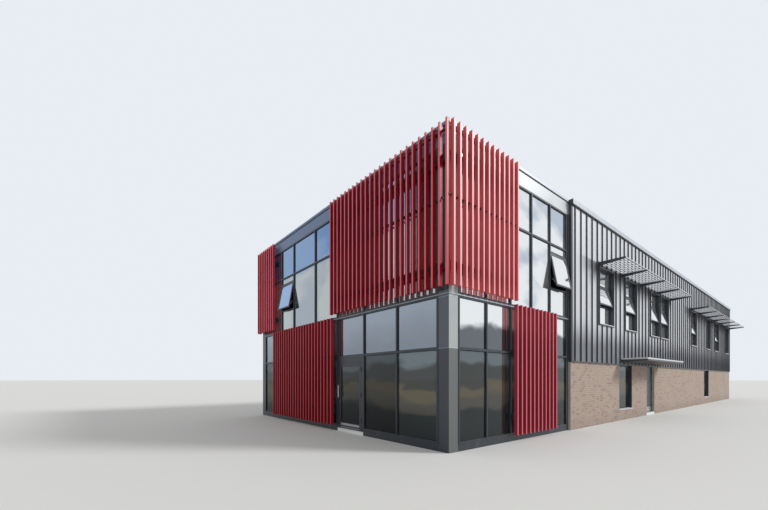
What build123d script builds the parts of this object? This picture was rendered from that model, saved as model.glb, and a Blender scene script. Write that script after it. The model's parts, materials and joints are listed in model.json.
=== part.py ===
from build123d import *

import os
from math import cos, radians, sin

# Two-storey fire station: a glazed front block with red fins, and a longer rear block
# with brick below and seamed metal above. The origin is the middle of the plan at
# ground level, +X is east and the entrance front faces -Y. All sizes are in millimetres.

# Plan
front_width = 11000
building_length = 34400
front_length = 5750
rear_step = 100
rear_wall_thickness = 300
brick_setback = 30

# Levels above the ground
ground_floor_top = 100
plinth_top = 150
brick_top = 2180
lower_transom_level = 2330
first_floor_top = 3250
first_floor_thickness = 300
storey_line = 3550
upper_transom_rise = 2150
upper_storey_height = 3330
roof_deck_thickness = 200
fascia_height = 400
front_coping_thickness = 80
rear_coping_thickness = 160

# Curtain walls of the front block
frame_depth = 150
bar_width = 60
corner_post_size = 310
glass_thickness = 28
glass_setback = 30
south_first_bay = 1410
south_bay_widths = [1440, 1440, 1460, 1710, 1120]
side_bay_count = 5
side_last_bar_width = 160
panel_joint = 4

# Red fins
fin_width = 50
fin_depth = 100
fin_standoff = 100
fin_pitch = 210
corner_fin_reach = 95
side_fin_reach = 40
upper_fin_rise = 120
fin_top_drop = 20
ground_fin_rise = 20
fin_foot_gap = 25
south_upper_fin_count = 24
side_upper_fin_count = 13
southwest_fin_count = 9
south_ground_fin_count = 23
south_ground_fin_start = 4710
east_ground_fin_count = 11
east_ground_fin_start = 2465
rail_depth = 60
rail_height = 170
rail_end_margin = 20
upper_rail_levels = [4130, 6510]
ground_rail_levels = [640, 2330]
bracket_drop = 140
bracket_height = 30

# Entrance door, in the third bay from the east corner
entrance_bay_index = 2
entrance_jamb_width = 100
entrance_header_height = 180
door_clearance = 5
door_foot_clearance = 10
entrance_leaf_thickness = 60
entrance_stile_width = 90
entrance_bottom_rail = 180
door_glass_thickness = 24
pull_bottom = 1060
pull_length = 380
pull_radius = 14
pull_post_radius = 9
pull_post_margin = 40
pull_reach = 70
pull_inset = 45

# Side door in the east wall
side_door_start = 13330
side_door_width = 1120
side_door_setback = 100
side_jamb_width = 60
side_header_height = 60
side_frame_depth = 90
side_leaf_thickness = 50
lever_level = 1050
lever_length = 130
lever_radius = 10
lever_reach = 55
lever_inset = 70
lever_rose_radius = 26
lever_rose_thickness = 9

# Hinges of both doors
hinge_pin_offset = 12
hinge_radius = 9
hinge_plate_width = 36
hinge_knuckle_length = 60
hinge_gap = 0.3
hinge_margin = 260

# Windows of the rear block, placed by their middles: some are measured from the south
# face, the rest from the north face, and those of the north wall from its middle
window_width = 1300
upper_sill_level = 3600
upper_window_height = 2000
upper_middles_from_south = [8560, 11140, 14380, 15930]
upper_middles_from_north = [12400, 8330, 5530, 1420]
ground_window_width = 1430
ground_sill_level = 410
ground_middles_from_south = [10685]
ground_middles_from_north = [8645]
north_window_middles = [-3300, 0, 3300]
window_setback = 90
window_frame_depth = 70
window_frame_width = 55
window_glass_thickness = 24
window_glass_setback = 22
vent_rise = 670
vent_height = 730
sill_thickness = 40
sill_overhang = 45

# Open top-hung vents
vent_angle = 11
vent_rail_height = 25
vent_side_gap = 4
vent_frame_width = 50
vent_frame_thickness = 40
vent_glass_thickness = 20
open_vent_windows = [0, 1, 2, 3, 4, 6]
south_vent_bay_index = 5
east_vent_bay_index = 4
curtain_vent_drop = 270
curtain_vent_height = 1030
curtain_vent_bar = 40

# Sun shelves on the east wall
shelf_rise = 130
shelf_reach = 850
arm_width = 60
arm_root_height = 130
arm_tip_height = 60
first_shelf_start = 7850
first_shelf_pitch = 2300
first_shelf_arms = 5
second_shelf_end = 120
second_shelf_pitch = 2180
second_shelf_arms = 7
shelf_edge_width = 40
shelf_bar_height = 30
shelf_blade_width = 25
shelf_blade_count = 7
shelf_wall_gap = 60

# Canopy over the side door
canopy_before_door = 3290
canopy_length = 5150
canopy_reach = 900
canopy_rise = 100
canopy_root_thickness = 140
canopy_tip_thickness = 90

# Metal edges; the rear coping stands out far enough to cover the seams of the cladding
front_coping_overhang = 25
rear_coping_overhang = 60
coping_fall = 12
corner_trim_width = 90
trim_thickness = 6
flashing_height = 30
flashing_reach = 20

# Places worked out from the sizes above
half_width = front_width / 2
south_face = -building_length / 2
north_face = building_length / 2
rear_start = south_face + front_length
rear_half = half_width + rear_step
rear_inner = rear_half - rear_wall_thickness
north_inner = north_face - rear_wall_thickness
front_inner = half_width - frame_depth
south_inner = south_face + frame_depth
brick_half = rear_half - brick_setback
brick_north = north_face - brick_setback
brick_thickness = rear_wall_thickness - brick_setback
upper_transom_level = storey_line + upper_transom_rise
fascia_bottom = storey_line + upper_storey_height
roof_deck_top = fascia_bottom + roof_deck_thickness
fascia_top = fascia_bottom + fascia_height
coping_top = fascia_top + front_coping_thickness
clad_wall_top = coping_top - rear_coping_thickness
first_bar = corner_post_size + bar_width / 2
side_door_south = south_face + side_door_start
side_door_north = side_door_south + side_door_width
side_door_head = brick_top - side_header_height
upper_head_level = upper_sill_level + upper_window_height
vent_bottom_level = upper_sill_level + vent_rise
vent_top_level = vent_bottom_level + vent_height
shelf_level = upper_head_level + shelf_rise

# Local x runs along each wall, local y runs up, and the normal points out of doors
south_plane = Plane(origin=(0, south_face, 0), x_dir=(1, 0, 0), z_dir=(0, -1, 0))
east_plane = Plane(origin=(half_width, 0, 0), x_dir=(0, 1, 0), z_dir=(1, 0, 0))
clad_east_plane = east_plane.offset(rear_step)
brick_east_plane = clad_east_plane.offset(-brick_setback)
clad_north_plane = Plane(origin=(0, north_face, 0), x_dir=(-1, 0, 0), z_dir=(0, 1, 0))
brick_north_plane = clad_north_plane.offset(-brick_setback)

# Level bars of the curtain walls, as lower and upper edges
plinth_bar = (plinth_top, plinth_top + bar_width)
lower_transom = (lower_transom_level - bar_width / 2, lower_transom_level + bar_width / 2)
lower_head = (storey_line - bar_width, storey_line)
upper_foot = (storey_line, storey_line + bar_width)
upper_transom = (upper_transom_level - bar_width / 2, upper_transom_level + bar_width / 2)
upper_head = (fascia_bottom - bar_width, fascia_bottom)
lower_levels = [plinth_bar, lower_transom, lower_head]
upper_levels = [upper_foot, upper_transom, upper_head]
storey_bar = (lower_head[0], upper_foot[1])
side_levels = [plinth_bar, lower_transom, storey_bar, upper_transom, upper_head]
entrance_head = lower_transom[0] - entrance_header_height
curtain_vent_top = upper_transom_level - curtain_vent_drop
curtain_vent_bottom = curtain_vent_top - curtain_vent_height
vent_levels = [
    upper_foot,
    (curtain_vent_bottom - curtain_vent_bar, curtain_vent_bottom),
    (curtain_vent_top, curtain_vent_top + curtain_vent_bar),
    upper_transom,
]


def south_bar_lines():
    """Middles of the upright bars of the south front, from the east corner westwards."""
    lines = [half_width - first_bar, half_width - first_bar - south_first_bay]
    for width in south_bay_widths:
        lines.append(lines[-1] - width)
    lines.append(first_bar - half_width)
    return lines


def side_bar_lines():
    """Middles of the upright bars of a side front, from the south corner northwards."""
    start = south_face + first_bar
    end = rear_start - side_last_bar_width + bar_width / 2
    pitch = (end - start) / side_bay_count
    return [start + number * pitch for number in range(side_bay_count + 1)]


south_lines = south_bar_lines()
side_lines = side_bar_lines()
entrance_east = south_lines[entrance_bay_index] - bar_width / 2
entrance_west = south_lines[entrance_bay_index + 1] + bar_width / 2

os.makedirs("parts", exist_ok=True)


def save(piece, name):
    """Name a finished piece and write it to its own file."""
    piece.part.label = name
    export_step(piece.part, f"parts/{name}.step")


def rectangle_between(left, right, bottom, top, mode=Mode.ADD):
    """Draw a rectangle in the current sketch, given its edges."""
    with Locations(((left + right) / 2, (bottom + top) / 2)):
        Rectangle(abs(right - left), top - bottom, mode=mode)


def block(low, high, mode=Mode.ADD):
    """Make a box in the current part, given two opposite corners."""
    with Locations([tuple((a + b) / 2 for a, b in zip(low, high))]):
        Box(*(abs(b - a) for a, b in zip(low, high)), mode=mode)


def bay_bars(first_line, second_line):
    """Inner edges of the two upright bars of a bay, left then right."""
    left, right = sorted((first_line, second_line))
    return left + bar_width / 2, right - bar_width / 2


def openings_between(levels):
    """Gaps between neighbouring level bars, as bottom and top."""
    return [(low[1], high[0]) for low, high in zip(levels, levels[1:])]


def grid_sketch(lines, levels):
    """Draw upright bars on the lines, and level bars from the first line to the last."""
    left = min(lines) - bar_width / 2
    right = max(lines) + bar_width / 2
    for line in lines:
        rectangle_between(line - bar_width / 2, line + bar_width / 2, levels[0][0], levels[-1][1])
    for low, high in levels:
        rectangle_between(left, right, low, high)


def floor_piece(name, bottom, top):
    """A floor or roof deck that fills the building inside its walls."""
    post_inner = half_width - corner_post_size
    post_back = south_face + corner_post_size
    with BuildPart() as floor:
        block((-front_inner, south_inner, bottom), (front_inner, rear_start, top))
        block((-rear_inner, rear_start, bottom), (rear_inner, north_inner, top))
        if bottom < fascia_bottom:
            for side in (1, -1):
                block(
                    (side * post_inner, south_inner, bottom),
                    (side * front_inner, post_back, top),
                    mode=Mode.SUBTRACT,
                )
    save(floor, name)


floor_piece("ground_floor_slab", 0, ground_floor_top)
floor_piece("first_floor_slab", first_floor_top - first_floor_thickness, first_floor_top)
floor_piece("roof_deck", fascia_bottom, roof_deck_top)

# Low plinth under the glazing, left open at the entrance
post_inner = half_width - corner_post_size
post_back = south_face + corner_post_size
with BuildPart() as plinth:
    block((entrance_east, south_face, 0), (post_inner, south_inner, plinth_top))
    block((-post_inner, south_face, 0), (entrance_west, south_inner, plinth_top))
    for side in (1, -1):
        block((side * front_inner, post_back, 0), (side * half_width, rear_start, plinth_top))
save(plinth, "front_plinth")

# Cased columns at the two front corners
with BuildPart() as posts:
    for side in (1, -1):
        block(
            (side * post_inner, south_face, 0),
            (side * half_width, post_back, fascia_bottom),
        )
save(posts, "corner_posts")


def south_frame(name, lines, levels):
    """A stretch of the south curtain-wall grid."""
    with BuildPart() as frame:
        with BuildSketch(south_plane):
            grid_sketch(lines, levels)
            if levels is upper_levels:
                left, right = bay_bars(lines[south_vent_bay_index], lines[south_vent_bay_index + 1])
                for low, high in vent_levels[1:3]:
                    rectangle_between(left, right, low, high)
        extrude(amount=-frame_depth)
    save(frame, name)


south_frame("south_lower_frame_east", south_lines[: entrance_bay_index + 1], lower_levels)
south_frame("south_lower_frame_west", south_lines[entrance_bay_index + 1 :], lower_levels)
south_frame("south_upper_frame", south_lines, upper_levels)


def side_frame(name, with_vent, west):
    """A side curtain-wall grid, with a wide last bar against the rear block."""
    with BuildPart() as frame:
        with BuildSketch(east_plane):
            grid_sketch(side_lines, side_levels)
            rectangle_between(
                rear_start - side_last_bar_width, rear_start, plinth_top, fascia_bottom
            )
            if with_vent:
                left, right = bay_bars(*side_lines[east_vent_bay_index :])
                for low, high in vent_levels[1:3]:
                    rectangle_between(left, right, low, high)
        extrude(amount=-frame_depth)
        if west:
            mirror(about=Plane.YZ, mode=Mode.REPLACE)
    save(frame, name)


side_frame("east_front_frame", with_vent=True, west=False)
side_frame("west_front_frame", with_vent=False, west=True)


def bay_panes(lines, bay, levels):
    """Draw the sheets of glass of one bay."""
    left, right = bay_bars(lines[bay], lines[bay + 1])
    for bottom, top in openings_between(levels):
        rectangle_between(left, right, bottom, top)


def vented_bay_panes(lines, bay):
    """Draw the sheets of glass under and over an open vent."""
    left, right = bay_bars(lines[bay], lines[bay + 1])
    under, _, over = openings_between(vent_levels)
    for bottom, top in (under, over):
        rectangle_between(left, right, bottom, top)


with BuildPart() as south_glass:
    with BuildSketch(south_plane.offset(-glass_setback)):
        for bay in range(len(south_lines) - 1):
            if bay == entrance_bay_index:
                bay_panes(south_lines, bay, [lower_transom, lower_head])
            else:
                bay_panes(south_lines, bay, lower_levels)
            if bay == south_vent_bay_index:
                vented_bay_panes(south_lines, bay)
                bay_panes(south_lines, bay, [upper_transom, upper_head])
            else:
                bay_panes(south_lines, bay, upper_levels)
    extrude(amount=-glass_thickness)
save(south_glass, "south_glass")


def side_glass(name, with_vent, west):
    """The sheets of glass of a side curtain wall."""
    with BuildPart() as glass:
        with BuildSketch(east_plane.offset(-glass_setback)):
            for bay in range(side_bay_count):
                if with_vent and bay == east_vent_bay_index:
                    bay_panes(side_lines, bay, [plinth_bar, lower_transom, storey_bar])
                    vented_bay_panes(side_lines, bay)
                    bay_panes(side_lines, bay, [upper_transom, upper_head])
                else:
                    bay_panes(side_lines, bay, side_levels)
        extrude(amount=-glass_thickness)
        if west:
            mirror(about=Plane.YZ, mode=Mode.REPLACE)
    save(glass, name)


side_glass("east_front_glass", with_vent=True, west=False)
side_glass("west_front_glass", with_vent=False, west=True)

# Fascia panels that hide the edge of the roof
with BuildPart() as fascia:
    block((-half_width, south_face, fascia_bottom), (half_width, south_inner, fascia_top))
    for side in (1, -1):
        block(
            (side * front_inner, south_inner + panel_joint, fascia_bottom),
            (side * half_width, rear_start, fascia_top),
        )
save(fascia, "front_fascia")


def coping_profile(plane, width, thickness):
    """Section of a coping whose top falls a little inwards; local x points out of doors."""
    with BuildSketch(plane) as profile:
        with BuildLine():
            Polyline(
                (-width / 2, 0),
                (width / 2, 0),
                (width / 2, thickness),
                (-width / 2, thickness - coping_fall),
                close=True,
            )
        make_face()
    return profile.sketch


def cross_plane(side, middle, level):
    """Plane across a side wall, with local x out of doors and local y up."""
    return Plane(origin=(side * middle, 0, level), x_dir=(side, 0, 0), z_dir=(0, -side, 0))


def side_coping(side, middle, width, thickness, bottom, start, end):
    """A straight coping along a side wall, in the current part."""
    profile = coping_profile(cross_plane(side, middle, bottom), width, thickness)
    extrude(profile.moved(Location((0, start if side < 0 else end, 0))), amount=end - start)


def end_coping(face, outward, thickness_of_wall, overhang, half_wall, bottom, thickness):
    """A straight coping along the south or north wall, in the current part."""
    half_length = half_wall + overhang
    plane = Plane(
        origin=(-outward * half_length, face - outward * thickness_of_wall / 2, bottom),
        x_dir=(0, outward, 0),
        z_dir=(outward, 0, 0),
    )
    width = thickness_of_wall + 2 * overhang
    extrude(coping_profile(plane, width, thickness), amount=2 * half_length)


with BuildPart() as copings:
    end_coping(
        south_face, -1, frame_depth, front_coping_overhang, half_width, fascia_top,
        coping_top - fascia_top,
    )
    for side in (1, -1):
        side_coping(
            side,
            half_width - frame_depth / 2,
            frame_depth + 2 * front_coping_overhang,
            coping_top - fascia_top,
            fascia_top,
            south_inner + front_coping_overhang + panel_joint,
            rear_start - panel_joint,
        )
    end_coping(
        north_face, 1, rear_wall_thickness, rear_coping_overhang, rear_half, clad_wall_top,
        coping_top - clad_wall_top,
    )
    for side in (1, -1):
        side_coping(
            side,
            rear_half - rear_wall_thickness / 2,
            rear_wall_thickness + 2 * rear_coping_overhang,
            coping_top - clad_wall_top,
            clad_wall_top,
            rear_start,
            north_inner - rear_coping_overhang - panel_joint,
        )
save(copings, "roof_copings")


def fin_block(name, rows, bottom, top):
    """Rows of upright fins that stand off the walls, as a wall plane and places along it."""
    with BuildPart() as fins:
        for plane, places in rows:
            with BuildSketch(plane.offset(fin_standoff)):
                for place in places:
                    rectangle_between(place - fin_width / 2, place + fin_width / 2, bottom, top)
        extrude(amount=fin_depth)
    save(fins, name)


# Each upper row starts just past the corner; the west rows mirror the east ones
west_plane = Plane(origin=(-half_width, 0, 0), x_dir=(0, -1, 0), z_dir=(-1, 0, 0))
corner_fin = half_width + corner_fin_reach
south_upper_places = [corner_fin - number * fin_pitch for number in range(south_upper_fin_count)]
southwest_places = [number * fin_pitch - corner_fin for number in range(southwest_fin_count)]
east_upper_places = [
    south_face - side_fin_reach + number * fin_pitch for number in range(side_upper_fin_count)
]
west_upper_places = [-place for place in east_upper_places]
south_ground_places = [
    half_width - south_ground_fin_start - number * fin_pitch
    for number in range(south_ground_fin_count)
]
east_ground_places = [
    south_face + east_ground_fin_start + number * fin_pitch
    for number in range(east_ground_fin_count)
]

upper_edges = (storey_line + upper_fin_rise, fascia_top - fin_top_drop)
ground_edges = (plinth_top + fin_foot_gap, storey_line + ground_fin_rise)
fin_block("south_upper_fins", [(south_plane, south_upper_places)], *upper_edges)
fin_block("east_upper_fins", [(east_plane, east_upper_places)], *upper_edges)
fin_block(
    "southwest_fins",
    [(south_plane, southwest_places), (west_plane, west_upper_places)],
    *upper_edges,
)
fin_block("south_ground_fins", [(south_plane, south_ground_places)], *ground_edges)
fin_block("east_ground_fins", [(east_plane, east_ground_places)], *ground_edges)


def rail_edges(levels):
    """Lower and upper edges of the rails at the given levels."""
    return [(level - rail_height / 2, level + rail_height / 2) for level in levels]


def rail_run(plane, left, right, edges, bar_places):
    """Level rails behind a row of fins, with a stub back to each upright bar they pass."""
    stand_plane = plane.offset(fin_standoff - rail_depth)
    for bottom, top in edges:
        with BuildSketch(stand_plane) as rail:
            rectangle_between(left, right, bottom, top)
        extrude(rail.sketch, amount=rail_depth)
        with BuildSketch(plane) as stubs:
            for place in bar_places:
                if left < place - bar_width / 2 and place + bar_width / 2 < right:
                    rectangle_between(place - bar_width / 2, place + bar_width / 2, bottom, top)
        extrude(stubs.sketch, amount=fin_standoff - rail_depth)


bracket_top = fascia_top - bracket_drop
bracket_edges = (bracket_top - bracket_height, bracket_top)
upper_rails = [*rail_edges(upper_rail_levels), bracket_edges]
ground_rails = rail_edges(ground_rail_levels)
rail_corner = half_width + fin_standoff - panel_joint
rail_back = south_face - fin_standoff + rail_depth
west_lines = [-line for line in side_lines]
with BuildPart() as rails:
    rail_run(
        south_plane,
        south_upper_places[-1] - rail_end_margin,
        rail_corner,
        upper_rails,
        south_lines,
    )
    rail_run(
        south_plane,
        -rail_corner,
        southwest_places[-1] + rail_end_margin,
        upper_rails,
        south_lines,
    )
    rail_run(
        east_plane,
        rail_back + panel_joint,
        east_upper_places[-1] + rail_end_margin,
        upper_rails,
        side_lines,
    )
    rail_run(
        west_plane,
        west_upper_places[-1] - rail_end_margin,
        -rail_back - panel_joint,
        upper_rails,
        west_lines,
    )
    rail_run(
        south_plane,
        south_ground_places[-1] - rail_end_margin,
        south_ground_places[0] + rail_end_margin,
        ground_rails,
        south_lines,
    )
    rail_run(
        east_plane,
        east_ground_places[0] - rail_end_margin,
        east_ground_places[-1] + rail_end_margin,
        ground_rails,
        side_lines,
    )
save(rails, "fin_rails")


def wall_piece(name, plane, edges, openings, thickness, west=False):
    """A wall with windows cut through it; edges and openings are left, right, bottom, top."""
    with BuildPart() as wall:
        with BuildSketch(plane):
            rectangle_between(*edges)
            for opening in openings:
                rectangle_between(*opening, mode=Mode.SUBTRACT)
        extrude(amount=-thickness)
        if west:
            mirror(about=Plane.YZ, mode=Mode.REPLACE)
    save(wall, name)


def wall_middles(from_south, from_north):
    """Middles of the windows of a side wall, from the south end northwards."""
    first = [south_face + distance for distance in from_south]
    return first + [north_face - distance for distance in from_north]


def upper_opening(middle):
    """Edges of an upper window: left, right, bottom, top."""
    half = window_width / 2
    return middle - half, middle + half, upper_sill_level, upper_head_level


def ground_opening(middle):
    """Edges of a window in the brick, which reaches up to the cladding."""
    half = ground_window_width / 2
    return middle - half, middle + half, ground_sill_level, brick_top


upper_middles = wall_middles(upper_middles_from_south, upper_middles_from_north)
upper_openings = [upper_opening(middle) for middle in upper_middles]
south_ground_openings = [
    ground_opening(middle) for middle in wall_middles(ground_middles_from_south, [])
]
north_ground_openings = [
    ground_opening(middle) for middle in wall_middles([], ground_middles_from_north)
]
ground_openings = south_ground_openings + north_ground_openings
north_wall_upper_openings = [upper_opening(middle) for middle in north_window_middles]
north_wall_ground_openings = [ground_opening(middle) for middle in north_window_middles]

wall_piece(
    "east_brick_wall_south",
    brick_east_plane,
    (rear_start, side_door_south, 0, brick_top),
    south_ground_openings,
    brick_thickness,
)
wall_piece(
    "east_brick_wall_north",
    brick_east_plane,
    (side_door_north, brick_north, 0, brick_top),
    north_ground_openings,
    brick_thickness,
)
wall_piece(
    "west_brick_wall",
    brick_east_plane,
    (rear_start, brick_north, 0, brick_top),
    ground_openings,
    brick_thickness,
    west=True,
)
wall_piece(
    "north_brick_wall",
    brick_north_plane,
    (-rear_inner, rear_inner, 0, brick_top),
    north_wall_ground_openings,
    brick_thickness,
)
clad_edges = (rear_start, north_face, brick_top, clad_wall_top)
wall_piece(
    "east_clad_wall", clad_east_plane, clad_edges, upper_openings, rear_wall_thickness
)
wall_piece(
    "west_clad_wall",
    clad_east_plane,
    clad_edges,
    upper_openings,
    rear_wall_thickness,
    west=True,
)
wall_piece(
    "north_clad_wall",
    clad_north_plane,
    (-rear_inner, rear_inner, brick_top, clad_wall_top),
    north_wall_upper_openings,
    rear_wall_thickness,
)

# Dark trims on the corners of the rear block and a flashing along the foot of the cladding
with BuildPart() as trims:
    for side in (1, -1):
        block(
            (side * (rear_half - corner_trim_width), rear_start - trim_thickness, brick_top),
            (side * (rear_half + trim_thickness), rear_start, clad_wall_top),
        )
        block(
            (side * rear_half, rear_start, brick_top),
            (side * (rear_half + trim_thickness), rear_start + corner_trim_width, clad_wall_top),
        )
        block(
            (side * rear_half, north_face - corner_trim_width, brick_top),
            (side * (rear_half + trim_thickness), north_face + trim_thickness, clad_wall_top),
        )
        block(
            (side * (rear_half - corner_trim_width), north_face, brick_top),
            (side * rear_half, north_face + trim_thickness, clad_wall_top),
        )
    trimmed = corner_trim_width + panel_joint
    flashing_top = brick_top + flashing_height
    for side in (1, -1):
        block(
            (side * rear_half, rear_start + trimmed, brick_top),
            (side * (rear_half + flashing_reach), north_face - trimmed, flashing_top),
        )
    block(
        (trimmed - rear_half, north_face, brick_top),
        (rear_half - trimmed, north_face + flashing_reach, flashing_top),
    )
save(trims, "cladding_trims")


def framed_lights(opening, levels):
    """Openings inside a window frame, as left, right, bottom and top."""
    left, right, bottom, top = opening
    edges = [bottom, *levels, top]
    half = window_frame_width / 2
    lights = []
    for number, (low, high) in enumerate(zip(edges, edges[1:])):
        low_edge = low + (window_frame_width if number == 0 else half)
        high_edge = high - (window_frame_width if high == top else half)
        lights.append((left + window_frame_width, right - window_frame_width, low_edge, high_edge))
    return lights


upper_light_levels = [vent_bottom_level, vent_top_level]


def window_walls():
    """Each group of windows: plane, openings, light levels, mirrored side."""
    return [
        (clad_east_plane, upper_openings, upper_light_levels, False),
        (clad_east_plane, upper_openings, upper_light_levels, True),
        (brick_east_plane, ground_openings, [], False),
        (brick_east_plane, ground_openings, [], True),
        (clad_north_plane, north_wall_upper_openings, upper_light_levels, False),
        (brick_north_plane, north_wall_ground_openings, [], False),
    ]


def window_frame(plane, opening, levels, west):
    """A window frame that fills an opening."""
    with BuildPart() as frame:
        with BuildSketch(plane.offset(-window_setback)):
            rectangle_between(*opening)
            for light in framed_lights(opening, levels):
                rectangle_between(*light, mode=Mode.SUBTRACT)
        extrude(amount=-window_frame_depth)
    return frame.part


def window_panes(plane, opening, levels, west):
    """The sheets of glass of one window, but for an open vent."""
    with BuildPart() as panes:
        with BuildSketch(plane.offset(-window_setback - window_glass_setback)):
            for number, light in enumerate(framed_lights(opening, levels)):
                if not is_open(plane, opening, number, west):
                    rectangle_between(*light)
        extrude(amount=-window_glass_thickness)
    return panes.part


def is_open(plane, opening, light_number, west):
    """Whether this light holds an open vent."""
    if plane is not clad_east_plane or west or light_number != 1:
        return False
    return upper_openings.index(opening) in open_vent_windows


def wall_windows(make_window):
    """Make one window after another on all the walls, as a list of finished solids."""
    made = []
    for plane, openings, levels, west in window_walls():
        for opening in openings:
            window = make_window(plane, opening, levels, west)
            made.append(window.mirror(Plane.YZ) if west else window)
    return made


with BuildPart() as window_frames:
    add(wall_windows(window_frame))
save(window_frames, "window_frames")

with BuildPart() as window_glass:
    add(wall_windows(window_panes))
save(window_glass, "window_glass")


def window_sill(plane, opening, levels, west):
    """A sloping sill, from the frame to just past the wall."""
    left, right, bottom, top = opening
    corner = plane.from_local_coords((left, bottom, -window_setback))
    reach = window_setback + sill_overhang
    with BuildPart() as sill:
        with BuildSketch(Plane(origin=corner, x_dir=plane.z_dir, z_dir=-plane.x_dir)):
            with BuildLine():
                Polyline(
                    (0, 0),
                    (0, sill_thickness),
                    (reach, sill_thickness / 2),
                    (reach, 0),
                    close=True,
                )
            make_face()
        extrude(amount=left - right)
    return sill.part


with BuildPart() as sills:
    add(wall_windows(window_sill))
save(sills, "window_sills")


def vent_planes():
    """Each open vent: wall plane at the face of its frame, and its light."""
    vents = []
    for number in open_vent_windows:
        light = framed_lights(upper_openings[number], upper_light_levels)[1]
        vents.append((clad_east_plane.offset(-window_setback), light))
    for plane, lines, bay in (
        (south_plane, south_lines, south_vent_bay_index),
        (east_plane, side_lines, east_vent_bay_index),
    ):
        left, right = bay_bars(lines[bay], lines[bay + 1])
        vents.append((plane, (left, right, curtain_vent_bottom, curtain_vent_top)))
    return vents


def tilted_plane(plane, light):
    """Plane of the outer face of an open sash, with its origin at the middle of the head."""
    left, right, bottom, top = light
    head = plane.from_local_coords(((left + right) / 2, top - vent_rail_height, 0))
    angle = radians(vent_angle)
    normal = plane.z_dir * cos(angle) + Vector(0, 0, 1) * sin(angle)
    return Plane(origin=head, x_dir=plane.x_dir, z_dir=normal)


with BuildPart() as sashes:
    for plane, light in vent_planes():
        left, right, bottom, top = light
        half = (right - left) / 2 - vent_side_gap
        height = top - bottom - vent_rail_height
        with BuildSketch(plane) as head_rail:
            rectangle_between(left, right, top - vent_rail_height, top)
        extrude(head_rail.sketch, amount=-vent_frame_thickness)
        with BuildSketch(tilted_plane(plane, light)) as sash:
            rectangle_between(-half, half, -height, vent_rail_height / 2)
            rectangle_between(
                vent_frame_width - half,
                half - vent_frame_width,
                vent_frame_width - height,
                -vent_frame_width,
                mode=Mode.SUBTRACT,
            )
        extrude(sash.sketch, amount=-vent_frame_thickness)
save(sashes, "open_vent_sashes")

with BuildPart() as vent_glass:
    for plane, light in vent_planes():
        left, right, bottom, top = light
        half = (right - left) / 2 - vent_side_gap - vent_frame_width
        height = top - bottom - vent_rail_height
        depth = (vent_frame_thickness - vent_glass_thickness) / 2
        with BuildSketch(tilted_plane(plane, light).offset(-depth)) as sheet:
            rectangle_between(-half, half, vent_frame_width - height, -vent_frame_width)
        extrude(sheet.sketch, amount=-vent_glass_thickness)
save(vent_glass, "open_vent_glass")


def shelf_arm_places():
    """Middles of the arms of both rows of sun shelves."""
    first = [
        south_face + first_shelf_start + number * first_shelf_pitch
        for number in range(first_shelf_arms)
    ]
    second = [
        north_face - second_shelf_end - number * second_shelf_pitch
        for number in reversed(range(second_shelf_arms))
    ]
    return first, second


with BuildPart() as arms:
    for row in shelf_arm_places():
        for place in row:
            arm_plane = Plane(
                origin=(rear_half, place + arm_width / 2, shelf_level),
                x_dir=(1, 0, 0),
                z_dir=(0, -1, 0),
            )
            with BuildSketch(arm_plane) as profile:
                with BuildLine():
                    Polyline(
                        (0, shelf_bar_height),
                        (shelf_reach, shelf_bar_height),
                        (shelf_reach, shelf_bar_height - arm_tip_height),
                        (0, shelf_bar_height - arm_root_height),
                        close=True,
                    )
                make_face()
            extrude(profile.sketch, amount=arm_width)
save(arms, "shelf_arms")


def shelf_bay(start, end):
    """A bladed shelf panel between two arms."""
    inner = rear_half + shelf_wall_gap
    outer = rear_half + shelf_reach
    pitch = (outer - inner - shelf_edge_width) / (shelf_blade_count + 1)
    with BuildPart() as panel:
        with BuildSketch(Plane.XY.offset(shelf_level)):
            rectangle_between(inner, outer, start, end)
            for number in range(shelf_blade_count + 1):
                left = inner + shelf_blade_width + number * pitch
                right = inner + (number + 1) * pitch
                rectangle_between(
                    left,
                    right,
                    start + shelf_edge_width,
                    end - shelf_edge_width,
                    mode=Mode.SUBTRACT,
                )
        extrude(amount=shelf_bar_height)
    return panel.part


shelf_bays = [
    shelf_bay(place + arm_width / 2, following - arm_width / 2)
    for row in shelf_arm_places()
    for place, following in zip(row, row[1:])
]
with BuildPart() as shelves:
    add(shelf_bays)
save(shelves, "sun_shelves")

# Canopy, thinner at its outer edge, fixed to the cladding over the side door
canopy_plane = Plane(
    origin=(rear_half, side_door_south - canopy_before_door, brick_top + canopy_rise),
    x_dir=(1, 0, 0),
    z_dir=(0, -1, 0),
)
with BuildPart() as canopy:
    with BuildSketch(canopy_plane):
        with BuildLine():
            Polyline(
                (0, 0),
                (canopy_reach, canopy_root_thickness - canopy_tip_thickness),
                (canopy_reach, canopy_root_thickness),
                (0, canopy_root_thickness),
                close=True,
            )
        make_face()
    extrude(amount=-canopy_length)
save(canopy, "door_canopy")

# Door openings: jambs and headers are separate pieces, so that the doorways stay open.
# The jambs carry the fixed half of each hinge, a round knuckle on a bent plate.
side_jamb_outer = brick_half - side_door_setback
side_jamb_inner = side_jamb_outer - side_frame_depth
entrance_leaf_east = entrance_east - entrance_jamb_width - door_clearance
entrance_leaf_west = entrance_west + entrance_jamb_width + door_clearance
side_leaf_south = side_door_south + side_jamb_width + door_clearance
side_leaf_north = side_door_north - side_jamb_width - door_clearance
leaf_bottom = ground_floor_top + door_foot_clearance
entrance_leaf_top = entrance_head - door_clearance
side_leaf_top = side_door_head - door_clearance
entrance_pin = (entrance_leaf_east + door_clearance / 2, south_face - hinge_pin_offset)
side_pin = (side_jamb_outer + hinge_pin_offset, side_leaf_north + door_clearance / 2)


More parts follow.
